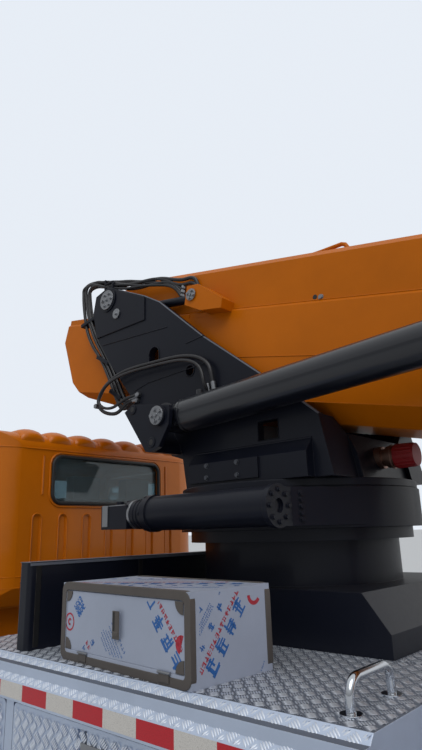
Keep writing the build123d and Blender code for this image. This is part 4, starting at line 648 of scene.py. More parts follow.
CAB_ROOF = 2.217
ROOF_ROUND = 0.095
roof_route = [(x, CAB_ROOF) for x in (4.56, 4.53, 4.5, 4.47, 4.0)] + [
    (CAB_REAR_X + ROOF_ROUND * (1 - math.sin(math.radians(a))),
     CAB_ROOF - ROOF_ROUND * (1 - math.cos(math.radians(a)))) for a in (0, 12, 24, 36, 46, 54, 60, 66)]
RIBS, RIB_PITCH = 7, 0.19
roof_ridges = bmesh.new()
for rib in range(RIBS):
    ridge(roof_ridges, (rib - RIBS // 2) * RIB_PITCH, roof_route, 0.078, 0.028)
build("roof_ridges", roof_ridges, orange_paint, "chassis", smooth=75)
fold_bolts = [((CAB_REAR_X + 0.001, side * 0.6, 1.361), (-1, 0, 0)) for side in (1, -1)]
fasteners("fold_bolts", fold_bolts, 0.008, 0.006, "chassis", seal_rubber_and_shade)
mirror_glass = coat("mirror_glass", (200, 204, 208), (160, 160, 160), (0.03, 0.0, 0.08), (300, 0.0),
                    metallic=1.0)
mirror_shell = coat("mirror_shell", (22, 22, 24), (60, 60, 60), (0.5, 0.2, 0.25), (260, 0.3))
for side, side_name in SIDES:
    pane = bmesh.new()
    slab(pane, (4.768, side * 0.975, 1.64), (4.7705, side * 1.115, 1.972))
    door_body = f"cab_door_{side_name}"
    build(f"mirror_pane_{side_name}", pane, mirror_glass, door_body, soften=0.001)
    shell = bmesh.new()
    for x, y0, y1, z0, z1 in ((4.767, 0.958, 1.132, 1.618, 1.63), (4.767, 0.958, 1.132, 1.98, 1.992),
                              (4.767, 0.958, 0.97, 1.618, 1.992), (4.767, 1.12, 1.132, 1.618, 1.992),
                              (4.812, 0.958, 1.132, 1.618, 1.992)):
        slab(shell, (x, side * y0, z0), (4.822, side * y1, z1))
    build(f"mirror_shell_{side_name}", shell, mirror_shell, door_body, soften=0.003)
wipers = bmesh.new()
for wiper_y in (-0.42, 0.28):
    rod(wipers, (5.012, wiper_y, 1.562), (4.914, wiper_y + 0.36, 1.79), 0.006, 10)
    slab(wipers, (5.0, wiper_y - 0.02, 1.548), (5.03, wiper_y + 0.02, 1.574))
build("wipers", wipers, seal_rubber_and_shade, "chassis")


# Lamps and bumper
# Charcoal steel bumper with clear headlamps and red tail lamps; lenses have upright flutes.
charcoal_paint = coat("charcoal_paint", (10, 14, 27), (60, 62, 70), (0.4, 0.25, 0.03), (120, 0.1),
                      gloss=0.1, shine=0.22)
dress(charcoal_paint, "front_bumper", "cross_cabinet", "pedestal", "turret", "slew_drive", "level_barrel",
      "basket_head")
lens, tree, shader = new_material("lamp_lens")
place = object_place(tree)
lens_x = add_node(tree, "ShaderNodeSeparateXYZ", in_0=place).outputs["X"]
flutes = add_node(tree, "ShaderNodeTexWave", in_Vector=place, bands_direction="Y", in_Scale=22.0)
feed(tree, shader, in_Normal=bump(tree, flutes.outputs["Fac"], 0.5, 0.002), in_Roughness=0.12,
     in_Transmission_Weight=0.3,
     in_Base_Color=mixed(tree, maths(tree, "LESS_THAN", lens_x, 0.0), srgb(214, 220, 224), srgb(150, 18, 16)))
dress(lens, "lamps")


# Decks and lockers
# Bent aluminium plate with five raised bars in each cell, turned cell by cell, at 45 degrees to
# the edge. The bars are rolled into the plate; the lockers under it have doors of the same plate.
DECK_TOP = 1.185
DECK_REAR, DECK_FRONT = 1.07, 2.935
DECK_HALF = 1.2
CHAMFER = (0.07, 0.072)
CELL = 0.036
BAR = (0.015, 0.0031, 0.0024)
# The tread plate's and its bars' upward tint is a dark blue-grey: painted shade that keeps their tops darker
# than the sloped edges.
tread_metal = coat("tread_plate", (206, 218, 238), (224, 228, 234), (0.38, 0.4, 1.52), (60, 0.15),
                   metallic=0.85, edge=0.003, grime_and_shade_colour=(60, 62, 70))
bar_metal = coat("bar_metal", (232, 238, 248), (244, 246, 250), (0.32, 0.2, 0.55), (90, 0.1),
                 metallic=0.85, edge=0.001, grime_and_shade_colour=(90, 92, 98))
dress(tread_metal, "front_deck", "rear_deck", *["locker_door_" + corner for corner in CORNERS])

tree, sizes, answer = group_tree(
    "five_bar_plate", "GeometryNodeTree",
    {"Geometry": "Geometry", "Length": 1.0, "Width": 1.0, "Cell": 0.036, "Across": 50, "Bar Length": 0.014,
     "Bar Width": 0.003, "Bar Height": 0.0016, "Bar Sides": 6, "Finish": "Material"},
    {"Geometry": "Geometry"})


def past_edge(tree, sizes, margin):
    """True where a point lies past the panel's edge by more than a margin."""
    place = add_node(tree, "ShaderNodeSeparateXYZ", in_0=made(tree, "GeometryNodeInputPosition")).outputs
    over = [maths(tree, "GREATER_THAN", maths(tree, "ABSOLUTE", place[axis]),
                  maths(tree, "MULTIPLY_ADD", sizes[size], 0.5, margin))
            for axis, size in (("X", "Length"), ("Y", "Width"))]
    return maths(tree, "MAXIMUM", *over)


# A grid of cells, each marked odd or even, turned to 45 degrees and trimmed to the panel
span = maths(tree, "MULTIPLY", sizes["Cell"], sizes["Across"])
across = maths(tree, "ADD", sizes["Across"], 1.0)
lattice = made(tree, "GeometryNodeMeshGrid", in_Size_X=span, in_Size_Y=span, in_Vertices_X=across,
               in_Vertices_Y=across)
cell_steps = made(tree, "ShaderNodeVectorMath", operation="DIVIDE",
                  in_0=made(tree, "GeometryNodeInputPosition"),
                  in_1=bundle(tree, X=sizes["Cell"], Y=sizes["Cell"], Z=1.0))
cell_xyz = add_node(tree, "ShaderNodeSeparateXYZ", in_0=cell_steps).outputs
cell_number = maths(tree, "ROUND", maths(tree, "ADD", cell_xyz["X"], cell_xyz["Y"]))
marked = made(tree, "GeometryNodeStoreNamedAttribute", data_type="FLOAT", domain="POINT",
              in_Geometry=lattice, in_Name="odd", in_Value=maths(tree, "PINGPONG", cell_number, 1.0))
askew = made(tree, "GeometryNodeTransform", in_Geometry=marked, in_Rotation=(0, 0, math.pi / 4))
trimmed = made(tree, "GeometryNodeDeleteGeometry", domain="POINT", in_Geometry=askew,
               in_Selection=past_edge(tree, sizes, 0.014))
# Five bars side by side in a cell, turned a quarter in odd cells and cut off at the panel's edge
bar_mesh = made(tree, "GeometryNodeMeshCone", in_Vertices=sizes["Bar Sides"], in_Radius_Top=0.0,
                in_Radius_Bottom=1.0, in_Depth=1.0)
bar_size = bundle(tree, X=sizes["Bar Length"], Y=sizes["Bar Width"], Z=sizes["Bar Height"])
bar_shape = made(tree, "GeometryNodeTransform", in_Geometry=bar_mesh, in_Scale=bar_size)
bar_step = bundle(tree, Y=maths(tree, "MULTIPLY", sizes["Cell"], 0.2))
bar_line = made(tree, "GeometryNodeMeshLine", in_Count=5, in_Start_Location=scaled(tree, bar_step, -2.0),
                in_Offset=bar_step)
five_bars = made(tree, "GeometryNodeInstanceOnPoints", in_Points=bar_line, in_Instance=bar_shape)
odd = add_node(tree, "GeometryNodeInputNamedAttribute", data_type="FLOAT", in_Name="odd")
odd_angle = maths(tree, "MULTIPLY_ADD", odd.outputs["Attribute"], math.pi / 2, math.pi / 4)
all_bars = set_out(tree, trimmed, five_bars, bundle(tree, Z=odd_angle), sizes)
cut_bars = made(tree, "GeometryNodeDeleteGeometry", domain="POINT", in_Geometry=all_bars,
                in_Selection=past_edge(tree, sizes, -0.001))
feed(tree, answer, in_Geometry=cut_bars)
plate_tree = tree


def bar_panel(shape, low, high, normal, bar_sides=6):
    """Five-bar relief on the rectangle between two corners, with one side along X."""
    low, high, normal = Vector(low), Vector(high), Vector(normal).normalized()
    size = high - low
    length, width = abs(size.x), math.hypot(size.y, size.z)
    count = int(math.ceil((length + width) / 1.41 / CELL / 2)) * 2
    bars = grow("bars", plate_tree, {"Length": length, "Width": width, "Cell": CELL, "Across": count,
                                     "Bar Length": BAR[0], "Bar Width": BAR[1], "Bar Height": BAR[2],
                                     "Bar Sides": bar_sides, "Finish": bar_metal})
    turn_to = Matrix((X_AXIS, normal.cross(X_AXIS), normal)).transposed().to_4x4()
    bars.transform(Matrix.Translation((low + high) / 2) @ turn_to)
    shape.from_mesh(bars)


FOOT_REAR, FOOT_FRONT, FOOT_HALF = 1.33, 2.42, 0.475  # the pedestal's foot stays clear of bars
relief_top = bmesh.new()
for side in (1, -1):
    edge_y = side * (DECK_HALF - CHAMFER[0])
    slope = (0, side * CHAMFER[1], CHAMFER[0])
    slope_foot = (DECK_FRONT, side * DECK_HALF, DECK_TOP - CHAMFER[1])
    bar_panel(relief_top, (DECK_REAR, side * FOOT_HALF, DECK_TOP), (DECK_FRONT, edge_y, DECK_TOP), Z_AXIS)
    bar_panel(relief_top, (DECK_REAR, edge_y, DECK_TOP), slope_foot, slope)
for x0, x1 in ((DECK_REAR, FOOT_REAR), (FOOT_FRONT, DECK_FRONT)):
    bar_panel(relief_top, (x0, -FOOT_HALF, DECK_TOP), (x1, FOOT_HALF, DECK_TOP), Z_AXIS)
build("deck_bars", relief_top, bar_metal, "chassis", smooth=70)

rear_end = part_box("rear_deck")[0].x
rear_middle = (rear_end + DECK_REAR) / 2
REAR_TOP, REAR_INNER = 0.93, 0.86
for name, x0, x1 in (("rear_bars_1", rear_end + 0.02, rear_middle),
                     ("rear_bars_2", rear_middle, DECK_REAR - 0.005)):
    relief_rear = bmesh.new()
    bar_panel(relief_rear, (x0, -REAR_INNER, REAR_TOP), (x1, REAR_INNER, REAR_TOP), Z_AXIS, bar_sides=4)
    build(name, relief_rear, bar_metal, "chassis", smooth=70)

# Tank straps with caps, and the cross cabinet's seams with a folded lip along its top, painted light grey as
# a painted highlight on that edge
straps = bmesh.new()
caps = bmesh.new()
for side, x0, x1, low in ((1, -0.25, 0.85, 0.48), (-1, 0.15, 0.95, 0.45)):
    for strap_x in (x0 + 0.175, x1 - 0.225):
        prism(straps, [(strap_x, side * 0.76 + y, z)
                       for y, z in round_loop(0.2725, low - 0.0025, 0.8625, 0.0925)], (0.05, 0, 0))
    rod(caps, (x0 + 0.12, side * 0.9, 0.872), (x0 + 0.12, side * 0.9, 0.898), 0.052, 32)
build("tank_straps", straps, plated, "chassis")
build("tank_caps", caps, chassis_paint, "chassis", soften=0.004)
cabinet_lip = bmesh.new()
cabinet_seams = bmesh.new()
slab(cabinet_lip, (2.514, -1.098, 1.494), (2.5175, 1.098, 1.508))
slab(cabinet_lip, (2.514, -1.098, 1.5055), (2.594, 1.098, 1.508))
for seam_y in (-1.06, -0.53, 0.0, 0.53, 1.06):
    slab(cabinet_seams, (2.515, seam_y - 0.012, 1.196), (2.5172, seam_y + 0.012, 1.492))
build("cabinet_lip", cabinet_lip, edge_paint, "chassis")
build("cabinet_seams", cabinet_seams, chassis_paint, "chassis", soften=0.0008)

# Locker doors: relief, and a paddle latch with its lock near the top
for node in ["locker_door_" + corner for corner in CORNERS]:
    side = 1 if node.endswith("left") else -1
    door_low, door_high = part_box(node)
    face_y = door_high.y if side > 0 else door_low.y
    relief = bmesh.new()
    bar_panel(relief, (door_low.x + 0.01, face_y, door_low.z + 0.01),
              (door_high.x - 0.01, face_y, door_high.z - 0.01), Y_AXIS * side)
    build(f"{node}_bars", relief, bar_metal, node, smooth=70)
    latch = bmesh.new()
    latch_x, latch_z = (door_low.x + door_high.x) / 2, door_high.z - 0.085
    slab(latch, (latch_x - 0.06, face_y, latch_z - 0.038),
         (latch_x + 0.06, face_y + side * 0.003, latch_z + 0.038))
    slab(latch, (latch_x - 0.044, face_y + side * 0.003, latch_z - 0.022),
         (latch_x + 0.03, face_y + side * 0.007, latch_z + 0.022))
    rod(latch, (latch_x + 0.046, face_y + side * 0.002, latch_z),
        (latch_x + 0.046, face_y + side * 0.006, latch_z), 0.009, 20)
    build(f"{node}_latch", latch, plated, node, soften=0.001)


# Tape
# Retroreflective tape along both deck edges: red and white blocks with a fine honeycomb backing.
TAPE_LOW, TAPE_HIGH = 1.063, 1.113
TAPE_BLOCK = 0.15
TAPE_START = 2.354
tape, tree, shader = new_material("marker_tape")
place = object_place(tree)
tape_x = add_node(tree, "ShaderNodeSeparateXYZ", in_0=place).outputs["X"]
tape_blocks = maths(tree, "DIVIDE", maths(tree, "SUBTRACT", tape_x, TAPE_START), TAPE_BLOCK)
tape_odd = maths(tree, "PINGPONG", maths(tree, "FLOOR", tape_blocks), 1.0)
tape_colour = mixed(tree, tape_odd, srgb(206, 202, 196), srgb(186, 12, 32))
comb = made(tree, "ShaderNodeTexVoronoi", feature="DISTANCE_TO_EDGE", in_Vector=place, in_Scale=260.0)
feed(tree, shader, in_Base_Color=scaled(tree, tape_colour, graded(tree, comb, 0.0, 0.12, 0.72, 1.0)),
     in_Roughness=0.3)
tape_strip = bmesh.new()
for side in (1, -1):
    slab(tape_strip, (DECK_REAR + 0.002, side * DECK_HALF, TAPE_LOW),
         (DECK_FRONT - 0.002, side * (DECK_HALF + 0.0006), TAPE_HIGH))
build("marker_tape", tape_strip, tape, "chassis")


# Boom
# Folded steel box sections in orange enamel, one sliding in the other. Collars close their heads,
# and the base section has cylinder bosses, a levelling bracket and lifting rails on its top.
SLOPE = math.radians(12)
PIVOT = Vector((2.926, 0, 2.947))
HEAD_U = 6.56
WEB_Y = 0.322
boom_paint = coat("boom_paint", (188, 99, 0), (176, 112, 40), (0.42, 0.25, 0.01), (90, 0.05), gloss=0.08,
                  shine=0.12)
dress(boom_paint, *[f"boom_{index}" for index in range(1, 7)])
dress(boom_paint, *["outrigger_beam_" + corner for corner in CORNERS])


def on_boom(u, y, v):
    """Place on the stowed boom: u runs from pivot to head, v is square to it and up."""
    return Vector((PIVOT.x - math.cos(SLOPE) * u - math.sin(SLOPE) * v, y,
                   PIVOT.z - math.sin(SLOPE) * u + math.cos(SLOPE) * v))


boom_welds = bmesh.new()
boom_plugs = bmesh.new()
boom_bolts = []
for side in (1, -1):
    for tail_u, y, v, radius in ((0.3, WEB_Y, -0.089, 0.004), (0.2, 0.3622, -0.545, 0.003),
                                 (0.9, 0.3492, -0.343, 0.0025)):
        bead(boom_welds, [on_boom(u, side * y, v) for u in (tail_u, HEAD_U - 0.06)], radius)
    bead(boom_welds, [on_boom(HEAD_U - 0.061, side * WEB_Y, v) for v in (0.118, -0.088)], 0.004)
    for x, z in ((2.12, 2.719), (1.6, 2.589)):
        rod(boom_plugs, (x, side * (WEB_Y - 0.001), z), (x, side * (WEB_Y + 0.001), z), 0.011, 20)
    boom_bolts.append(((1.571, side * WEB_Y, 2.58), (0, side, 0)))
    for v in (0.06, -0.02):
        boom_bolts.append((on_boom(HEAD_U - 0.03, side * (WEB_Y + 0.015), v), (0, side, 0)))
build("boom_welds", boom_welds, boom_paint, "boom_1")
build("boom_plugs", boom_plugs, seal_rubber_and_shade, "boom_1")
fasteners("boom_bolts", boom_bolts, 0.01, 0.007, "boom_1", plated)
SECTION_STEP = (0.075, 0.038)  # each section shows further out than the one round it, and is smaller
for index in range(1, 6):
    collar_bolts = []
    ahead, inward = SECTION_STEP[0] * index, SECTION_STEP[1] * index
    for side in (1, -1):
        for v in (0.05, -0.02):
            spot = on_boom(HEAD_U + ahead - 0.03, side * (WEB_Y - inward + 0.015), v - inward + 0.02)
            collar_bolts.append((spot, (0, side, 0)))
    fasteners(f"collar_bolts_{index + 1}", collar_bolts, 0.01, 0.008, f"boom_{index + 1}", plated)

# Lifting rails: bent round bars on the top flange near the tail
RAIL_ROUTE = [(1.735, 2.838), (1.7, 2.866), (1.621, 2.862), (1.51, 2.86), (1.493, 2.852), (1.476, 2.822),
              (1.476, 2.788)]
lifting_rails = bmesh.new()
for side in (1, -1):
    route = [Vector((x, side * 0.2, z)) for x, z in RAIL_ROUTE]
    tube_loop(lifting_rails, route, 0.01, False, sides=12)
build("lifting_rails", lifting_rails, boom_paint, "boom_1", smooth=60)


# Turret
# Charcoal side plates with a doubler round the pivot, weld beads, keeper plates on their pins and
# a step plate on the foot. A red cap closes the hose fitting on the rear plate.
PLATE_Y = 0.435
EAR_Y = 0.634
EAR_HOLES = ((2.459, 2.179), (2.324, 2.006))
LIFT_PIN = Vector((2.277, 0.527, 2.122))
LOCK_X, LOCK_Z = 2.841, 2.837
SLEW_X = 1.98
BOLT_RING = 0.64  # share of a keeper plate's radius at which its bolts stand
DOUBLER = [(2.602, 2.733), (2.602, 2.868), (2.842, 2.985), (2.926, 3.034), (3.045, 3.005), (3.069, 2.9),
           (3.026, 2.733)]


def circle_points(centre_a, centre_b, radius, count, start=0.0):
    """Points spread evenly round a circle."""
    turns = [start + 2 * math.pi * index / count for index in range(count)]
    return [(centre_a + radius * math.cos(turn), centre_b + radius * math.sin(turn)) for turn in turns]


PLATE_WELDS = (((2.974, 2.678), (2.428, 2.645)), ((2.29, 2.52), (2.165, 2.531)),
               ((2.681, 2.347), (2.576, 2.371), (2.321, 2.382), (2.144, 2.389)))
EDGE_LINE = [(1.563, 2.048), (1.665, 2.132), (2.179, 2.532), (2.488, 2.806), (2.611, 2.879), (2.84, 2.99)]
turret_plates = bmesh.new()
turret_welds = bmesh.new()
plate_edge_highlights = bmesh.new()
ear_hole_shade = bmesh.new()
for side in (1, -1):
    prism(turret_plates, [(x, side * PLATE_Y, z) for x, z in DOUBLER], (0, side * 0.007, 0))
    y = side * (PLATE_Y + 0.0005)
    for line in PLATE_WELDS:
        bead(turret_welds, [(x, y, z) for x, z in line])
    for rim_x, rim_high, rim_low, rim_radius in ((2.528, 2.519, 2.493, 0.041), (2.265, 2.372, 2.372, 0.029)):
        ring = [(rim_x + x, y, z + (rim_high if step < 12 else rim_low))
                for step, (x, z) in enumerate(circle_points(0, 0, rim_radius, 24))]
        bead(turret_welds, ring, 0.0035, closed=True)
    window = [(1.759, 1.972), (1.867, 1.972), (1.867, 2.058), (1.759, 2.058)]
    bead(turret_welds, [(x, y, z) for x, z in window], 0.003, closed=True)
    bead(turret_welds, [(x, side * (PLATE_Y + 0.001), 1.9555) for x in (1.6, 2.24)], 0.005)
    # Light grey bead along each plate's front edge: a painted highlight on that edge.
    bead(plate_edge_highlights, [(x, side * (PLATE_Y - 0.003), z - 0.001) for x, z in EDGE_LINE], 0.0045)
    for x, z in EAR_HOLES:
        rod(turret_plates, (x, side * EAR_Y, z), (x, side * (EAR_Y + 0.004), z), 0.024)
        # A black disc on each ear plate's boss stands for its hole: painted shade in place of the bore.
        rod(ear_hole_shade, (x, side * (EAR_Y + 0.003), z), (x, side * (EAR_Y + 0.0045), z), 0.013)
build("plate_edge_highlights", plate_edge_highlights, edge_paint, "turret", smooth=60)
build("turret_doublers", turret_plates, charcoal_paint, "turret", soften=0.0015)
build("turret_welds", turret_welds, charcoal_paint, "turret", smooth=60)
build("ear_hole_shade", ear_hole_shade, seal_rubber_and_shade, "turret")

# Keeper plates on the boom's and the lift cylinders' pins, with a ring of bolts on each
pin_plates = bmesh.new()
pin_bolts = []
for side in (1, -1):
    for pin, face, radius, count in ((PIVOT, 0.449, 0.06, 6), (LIFT_PIN, 0.646, 0.044, 5)):
        outer_y = side * (face + 0.006)
        rod(pin_plates, (pin.x, side * face, pin.z), (pin.x, outer_y, pin.z), radius, 32)
        pin_bolts.append(((pin.x, outer_y, pin.z), (0, side, 0)))
        for x, z in circle_points(pin.x, pin.z, BOLT_RING * radius, count):
            pin_bolts.append(((x, outer_y, z), (0, side, 0)))
    outer_y = side * (PLATE_Y + 0.015)
    rod(pin_plates, (LOCK_X, side * (PLATE_Y + 0.007), LOCK_Z), (LOCK_X, outer_y, LOCK_Z), 0.03)
    pin_bolts.append(((LOCK_X, outer_y, LOCK_Z), (0, side, 0)))
build("pin_plates", pin_plates, plated, "turret", soften=0.0012)
fasteners("pin_bolts", pin_bolts, 0.01, 0.008, "turret", plated)
step_bolts = [((bolt_x, side * 0.495, bolt_z), (0, side, 0)) for side in (1, -1)
              for bolt_x, bolt_z in ((2.116, 1.887), (2.118, 1.835), (1.942, 1.887), (1.942, 1.833))]
dull_steel = coat("dull_steel", (84, 87, 94), (120, 118, 112), (0.45, 0.3, 0.15), (300, 0.3), metallic=0.9,
                  edge=0.001)
fasteners("step_bolts", step_bolts, 0.009, 0.007, "turret", dull_steel, sides=14)

red_plastic = coat("red_cap", (140, 12, 18), (170, 60, 56), (0.42, 0.2, 0.15), (200, 0.2))
PORT_Y, PORT_Z = 0.005, 1.897
port_cap = bmesh.new()
rod(port_cap, (1.452, PORT_Y, PORT_Z), (1.362, PORT_Y, PORT_Z), 0.0505, 40, tip=0.048)
for out_y, out_z in circle_points(0, 0, 1, 20):
    out = Vector((0, out_y, out_z))
    start = Vector((1.449, PORT_Y, PORT_Z)) + out * 0.0502
    rod(port_cap, start, start + Vector((-0.078, 0, 0)) - out * 0.0022, 0.0028, 6)
build("port_cap", port_cap, red_plastic, "turret")
port_collar = bmesh.new()
for start, end, radius in ((1.508, 1.489, 0.0375), (1.546, 1.5075, 0.0478), (1.489, 1.452, 0.0472),
                           (1.47, 1.462, 0.052)):
    rod(port_collar, (start, PORT_Y, PORT_Z), (end, PORT_Y, PORT_Z), radius, 32)
port_metal = coat("port_metal", (150, 118, 104), (120, 118, 112), (0.38, 0.3, 0.1), (400, 0.2), metallic=0.9,
                  edge=0.001)
build("port_collar", port_collar, port_metal, "turret", soften=0.001)

base_rim = bmesh.new()
rod(base_rim, (SLEW_X, 0, 1.7665), (SLEW_X, 0, 1.7995), 0.553, 96)
build("base_rim", base_rim, charcoal_paint, "turret", soften=0.003)


# Slewing drive
# Cast ring housing with bolts round both flanges, the worm's end cover, and its hydraulic motor.
WORM_Y, WORM_Z = 0.64, 1.69
slew_bolts = [((1.63, y, z), (-1, 0, 0)) for y, z in circle_points(WORM_Y, WORM_Z, 0.058, 8)]
slew_bolts += [((2.3171, y, z), (1, 0, 0)) for y, z in circle_points(WORM_Y, WORM_Z, 0.07, 6)]
panel_way = Vector((-0.9, 0.437, 0)).normalized()
for bolt_z in (1.64, 1.664, 1.688, 1.712, 1.736):
    slew_bolts.append((Vector((1.612, 0.5245, bolt_z)) + panel_way * 0.001, panel_way))
fasteners("slew_bolts", slew_bolts, 0.009, 0.008, "chassis", charcoal_paint)

motor_parts = bmesh.new()
for ring_x in (2.33, 2.352, 2.374):
    rod(motor_parts, (ring_x, WORM_Y, WORM_Z), (ring_x + 0.008, WORM_Y, WORM_Z), 0.065, 40)
for port_x in (2.455, 2.535):
    rod(motor_parts, (port_x, WORM_Y, 1.726), (port_x, WORM_Y, 1.752), 0.02, 20)
build("motor_parts", motor_parts, charcoal_paint, "chassis", soften=0.0012)
motor_clamp = bmesh.new()
slab(motor_clamp, (2.43, 0.58, 1.728), (2.56, 0.7, 1.734))
slab(motor_clamp, (2.545, 0.695, 1.64), (2.585, 0.706, 1.734))
rod(motor_clamp, (2.4, WORM_Y, WORM_Z), (2.414, WORM_Y, WORM_Z), 0.0645, 40)
build("motor_clamp", motor_clamp, plated, "chassis", soften=0.001)


# Lift cylinders
# Dark enamelled barrels with a gland at the rod end, and hard chromed rods.
cylinder_paint = coat("cylinder_paint", (11, 14, 24), (60, 62, 70), (0.3, 0.2, 0.02), (120, 0.06), gloss=0.7,
                      shine=0.35)
dress(cylinder_paint, "lift_barrel_left", "lift_barrel_right")
chrome = coat("chrome_rod", (196, 200, 206), (160, 160, 160), (0.08, 0.1, 0.1), (300, 0.02), metallic=1.0,
              edge=0.002)
dress(chrome, "lift_rod_left", "lift_rod_right", "level_rod", "grab_handle",
      *["outrigger_jack_" + corner for corner in CORNERS])
lift_eye = on_boom(3.023, 0.527, -0.062)
lift_way = (lift_eye - LIFT_PIN).normalized()
for side, side_name in SIDES:
    mirror_y = Matrix.Diagonal((1, side, 1, 1))
    gland = bmesh.new()
    for along, thick, radius in ((0.075, 0.014, 0.08), (1.982, 0.01, 0.087), (2.062, 0.01, 0.087)):
        start = LIFT_PIN + lift_way * along
        rod(gland, mirror_y @ start, mirror_y @ (start + lift_way * thick), radius, 48)
    for along in (0.16, 1.92):
        port = LIFT_PIN + lift_way * along + Vector((0, 0, 0.074))
        rod(gland, mirror_y @ port, mirror_y @ (port + Vector((0, 0, 0.026))), 0.016, 20)
    build(f"lift_gland_{side_name}", gland, cylinder_paint, f"lift_barrel_{side_name}",
          soften=0.001)


# Hoses
# Rubber hoses run up the turret's front edge, loop over the pivot and end at the boom's bracket;
# two more bow across the side plate to the lift cylinder.
hose_rubber, tree, shader = new_material("hose_rubber")
place = object_place(tree)
worn_colour = mixed(tree, noise(tree, place, 9.0, 4.0), srgb(14, 14, 17), srgb(44, 43, 46))
feed(tree, shader, in_Base_Color=worn_colour, in_Roughness=0.42,
     in_Normal=bump(tree, noise(tree, place, 320.0, 3.0), 0.4, 0.0008))


def hose(name, points, diameter, body):
    """Hydraulic hose along a route of control points, built as a tube of hose rubber."""
    curve = bpy.data.curves.new(name, "CURVE")
    curve.dimensions = "3D"
    spline = curve.splines.new("NURBS")
    spline.points.add(len(points) - 1)
    spline.points.foreach_set("co", [c for point in points for c in (*point, 1)])
    spline.order_u = 3
    spline.use_endpoint_u = True
    spline.resolution_u = 6
    holder = bpy.data.objects.new(name + "_line", curve)
    bpy.context.scene.collection.objects.link(holder)
    bpy.context.view_layer.update()
    line = bpy.data.meshes.new_from_object(holder.evaluated_get(bpy.context.evaluated_depsgraph_get()))
    path = [v.co.copy() for v in line.vertices]
    bpy.data.objects.remove(holder)
    shape = bmesh.new()
    tube_loop(shape, path, diameter / 2, False, sides=12)
    piece = build(name, shape, hose_rubber, body, smooth=180)


CLIP_Y = 0.448
BUNDLE_LOW, BUNDLE_HIGH = 0.388, 0.432
BOW = [(2.65, 2.29), (2.7, 2.292), (2.748, 2.262), (2.797, 2.238), (2.859, 2.245), (2.922, 2.268),
       (2.964, 2.305), (2.969, 2.344), (2.941, 2.38), (2.903, 2.418), (2.803, 2.457), (2.68, 2.469),
       (2.507, 2.462), (2.35, 2.456), (2.247, 2.44), (2.171, 2.412), (2.116, 2.369), (2.101, 2.317),
       (2.098, 2.24)]
INNER_BOW = [(2.64, 2.318), (2.69, 2.305), (2.74, 2.29), (2.8, 2.27), (2.86, 2.272), (2.915, 2.292),
             (2.94, 2.325), (2.93, 2.366), (2.88, 2.408), (2.79, 2.434), (2.674, 2.444), (2.507, 2.438),
             (2.385, 2.432), (2.292, 2.424), (2.215, 2.402), (2.165, 2.37), (2.14, 2.325), (2.132, 2.27),
             (2.132, 2.236)]
for name, route, offset, diameter in (("bow_hose_1", BOW, 0.462, 0.02),
                                      ("bow_hose_2", INNER_BOW, 0.482, 0.016)):
    ends = (0, len(route) - 1)
    points = [(x, CLIP_Y if n in ends else offset, z) for n, (x, z) in enumerate(route)]
    hose(name, points, diameter, "turret")
# The bundle lies between these two lines on the plate's front edge and over the pivot. PIVOT_BLEND lists the
# turret, the boom and two points; the hoses built with it are only baked in place, on no body.
PIVOT_BLEND = ("turret", "boom_1", (3.14, 0.4, 2.95), (2.48, 0.4, 2.95))
OUTER_LINE = [(2.815, 2.262), (2.862, 2.306), (2.964, 2.5), (3.03, 2.612), (3.108, 2.701), (3.165, 2.794),
              (3.195, 2.874), (3.222, 2.999), (3.236, 3.08), (3.228, 3.124), (3.186, 3.14), (3.13, 3.139),
              (3.07, 3.132), (3.01, 3.1), (2.96, 3.092), (2.88, 3.066), (2.8, 3.046), (2.72, 3.024),
              (2.65, 3.006), (2.58, 2.992), (2.52, 2.976), (2.462, 2.952)]
INNER_LINE = [(2.752, 2.3), (2.795, 2.352), (2.893, 2.53), (2.968, 2.64), (3.036, 2.735), (3.086, 2.825),
              (3.116, 2.9), (3.134, 3.0), (3.14, 3.052), (3.134, 3.08), (3.112, 3.096), (3.08, 3.096),
              (3.04, 3.08), (2.996, 3.056), (2.95, 3.046), (2.874, 3.016), (2.796, 2.992), (2.716, 2.974),
              (2.648, 2.96), (2.58, 2.95), (2.52, 2.934), (2.464, 2.912)]
STRANDS = ((0.0, 0.404, 0.02), (0.24, 0.42, 0.018), (0.46, 0.398, 0.018), (0.66, 0.424, 0.018),
           (0.84, 0.402, 0.016), (1.0, 0.428, 0.016))
for strand, (share, strand_y, diameter) in enumerate(STRANDS):
    route = [(2.7, 0.415 + 0.006 * (strand - 2), 2.29)]
    for n, (out_point, in_point) in enumerate(zip(OUTER_LINE, INNER_LINE)):
        swing = 0.22 * math.sin(1.15 * n + 1.9 * strand) if n > 8 else 0.06 * math.sin(0.9 * n + strand)
        way = min(1.0, max(0.0, share + swing))
        inward = max(0.0, (n - 13) / 8) * (strand_y - 0.366)
        route.append((out_point[0] + (in_point[0] - out_point[0]) * way, strand_y - inward,
                      out_point[1] + (in_point[1] - out_point[1]) * way))
    if strand in (0, 2):
        drop = 0.03 * strand / 2
        route += [(2.41, 0.35, 2.935 - drop), (2.375, 0.342, 2.932 - drop), (2.33, 0.338, 2.93 - drop),
                  (2.295, 0.336, 2.898 - drop), (2.29, 0.332, 2.846)]
    else:
        route += [(2.425, 0.352, 2.905 - 0.006 * strand),
                  (2.4, 0.336 + 0.003 * strand, 2.89 - 0.012 * strand)]
    hose(f"pivot_hose_{strand + 1}", route, diameter, PIVOT_BLEND)

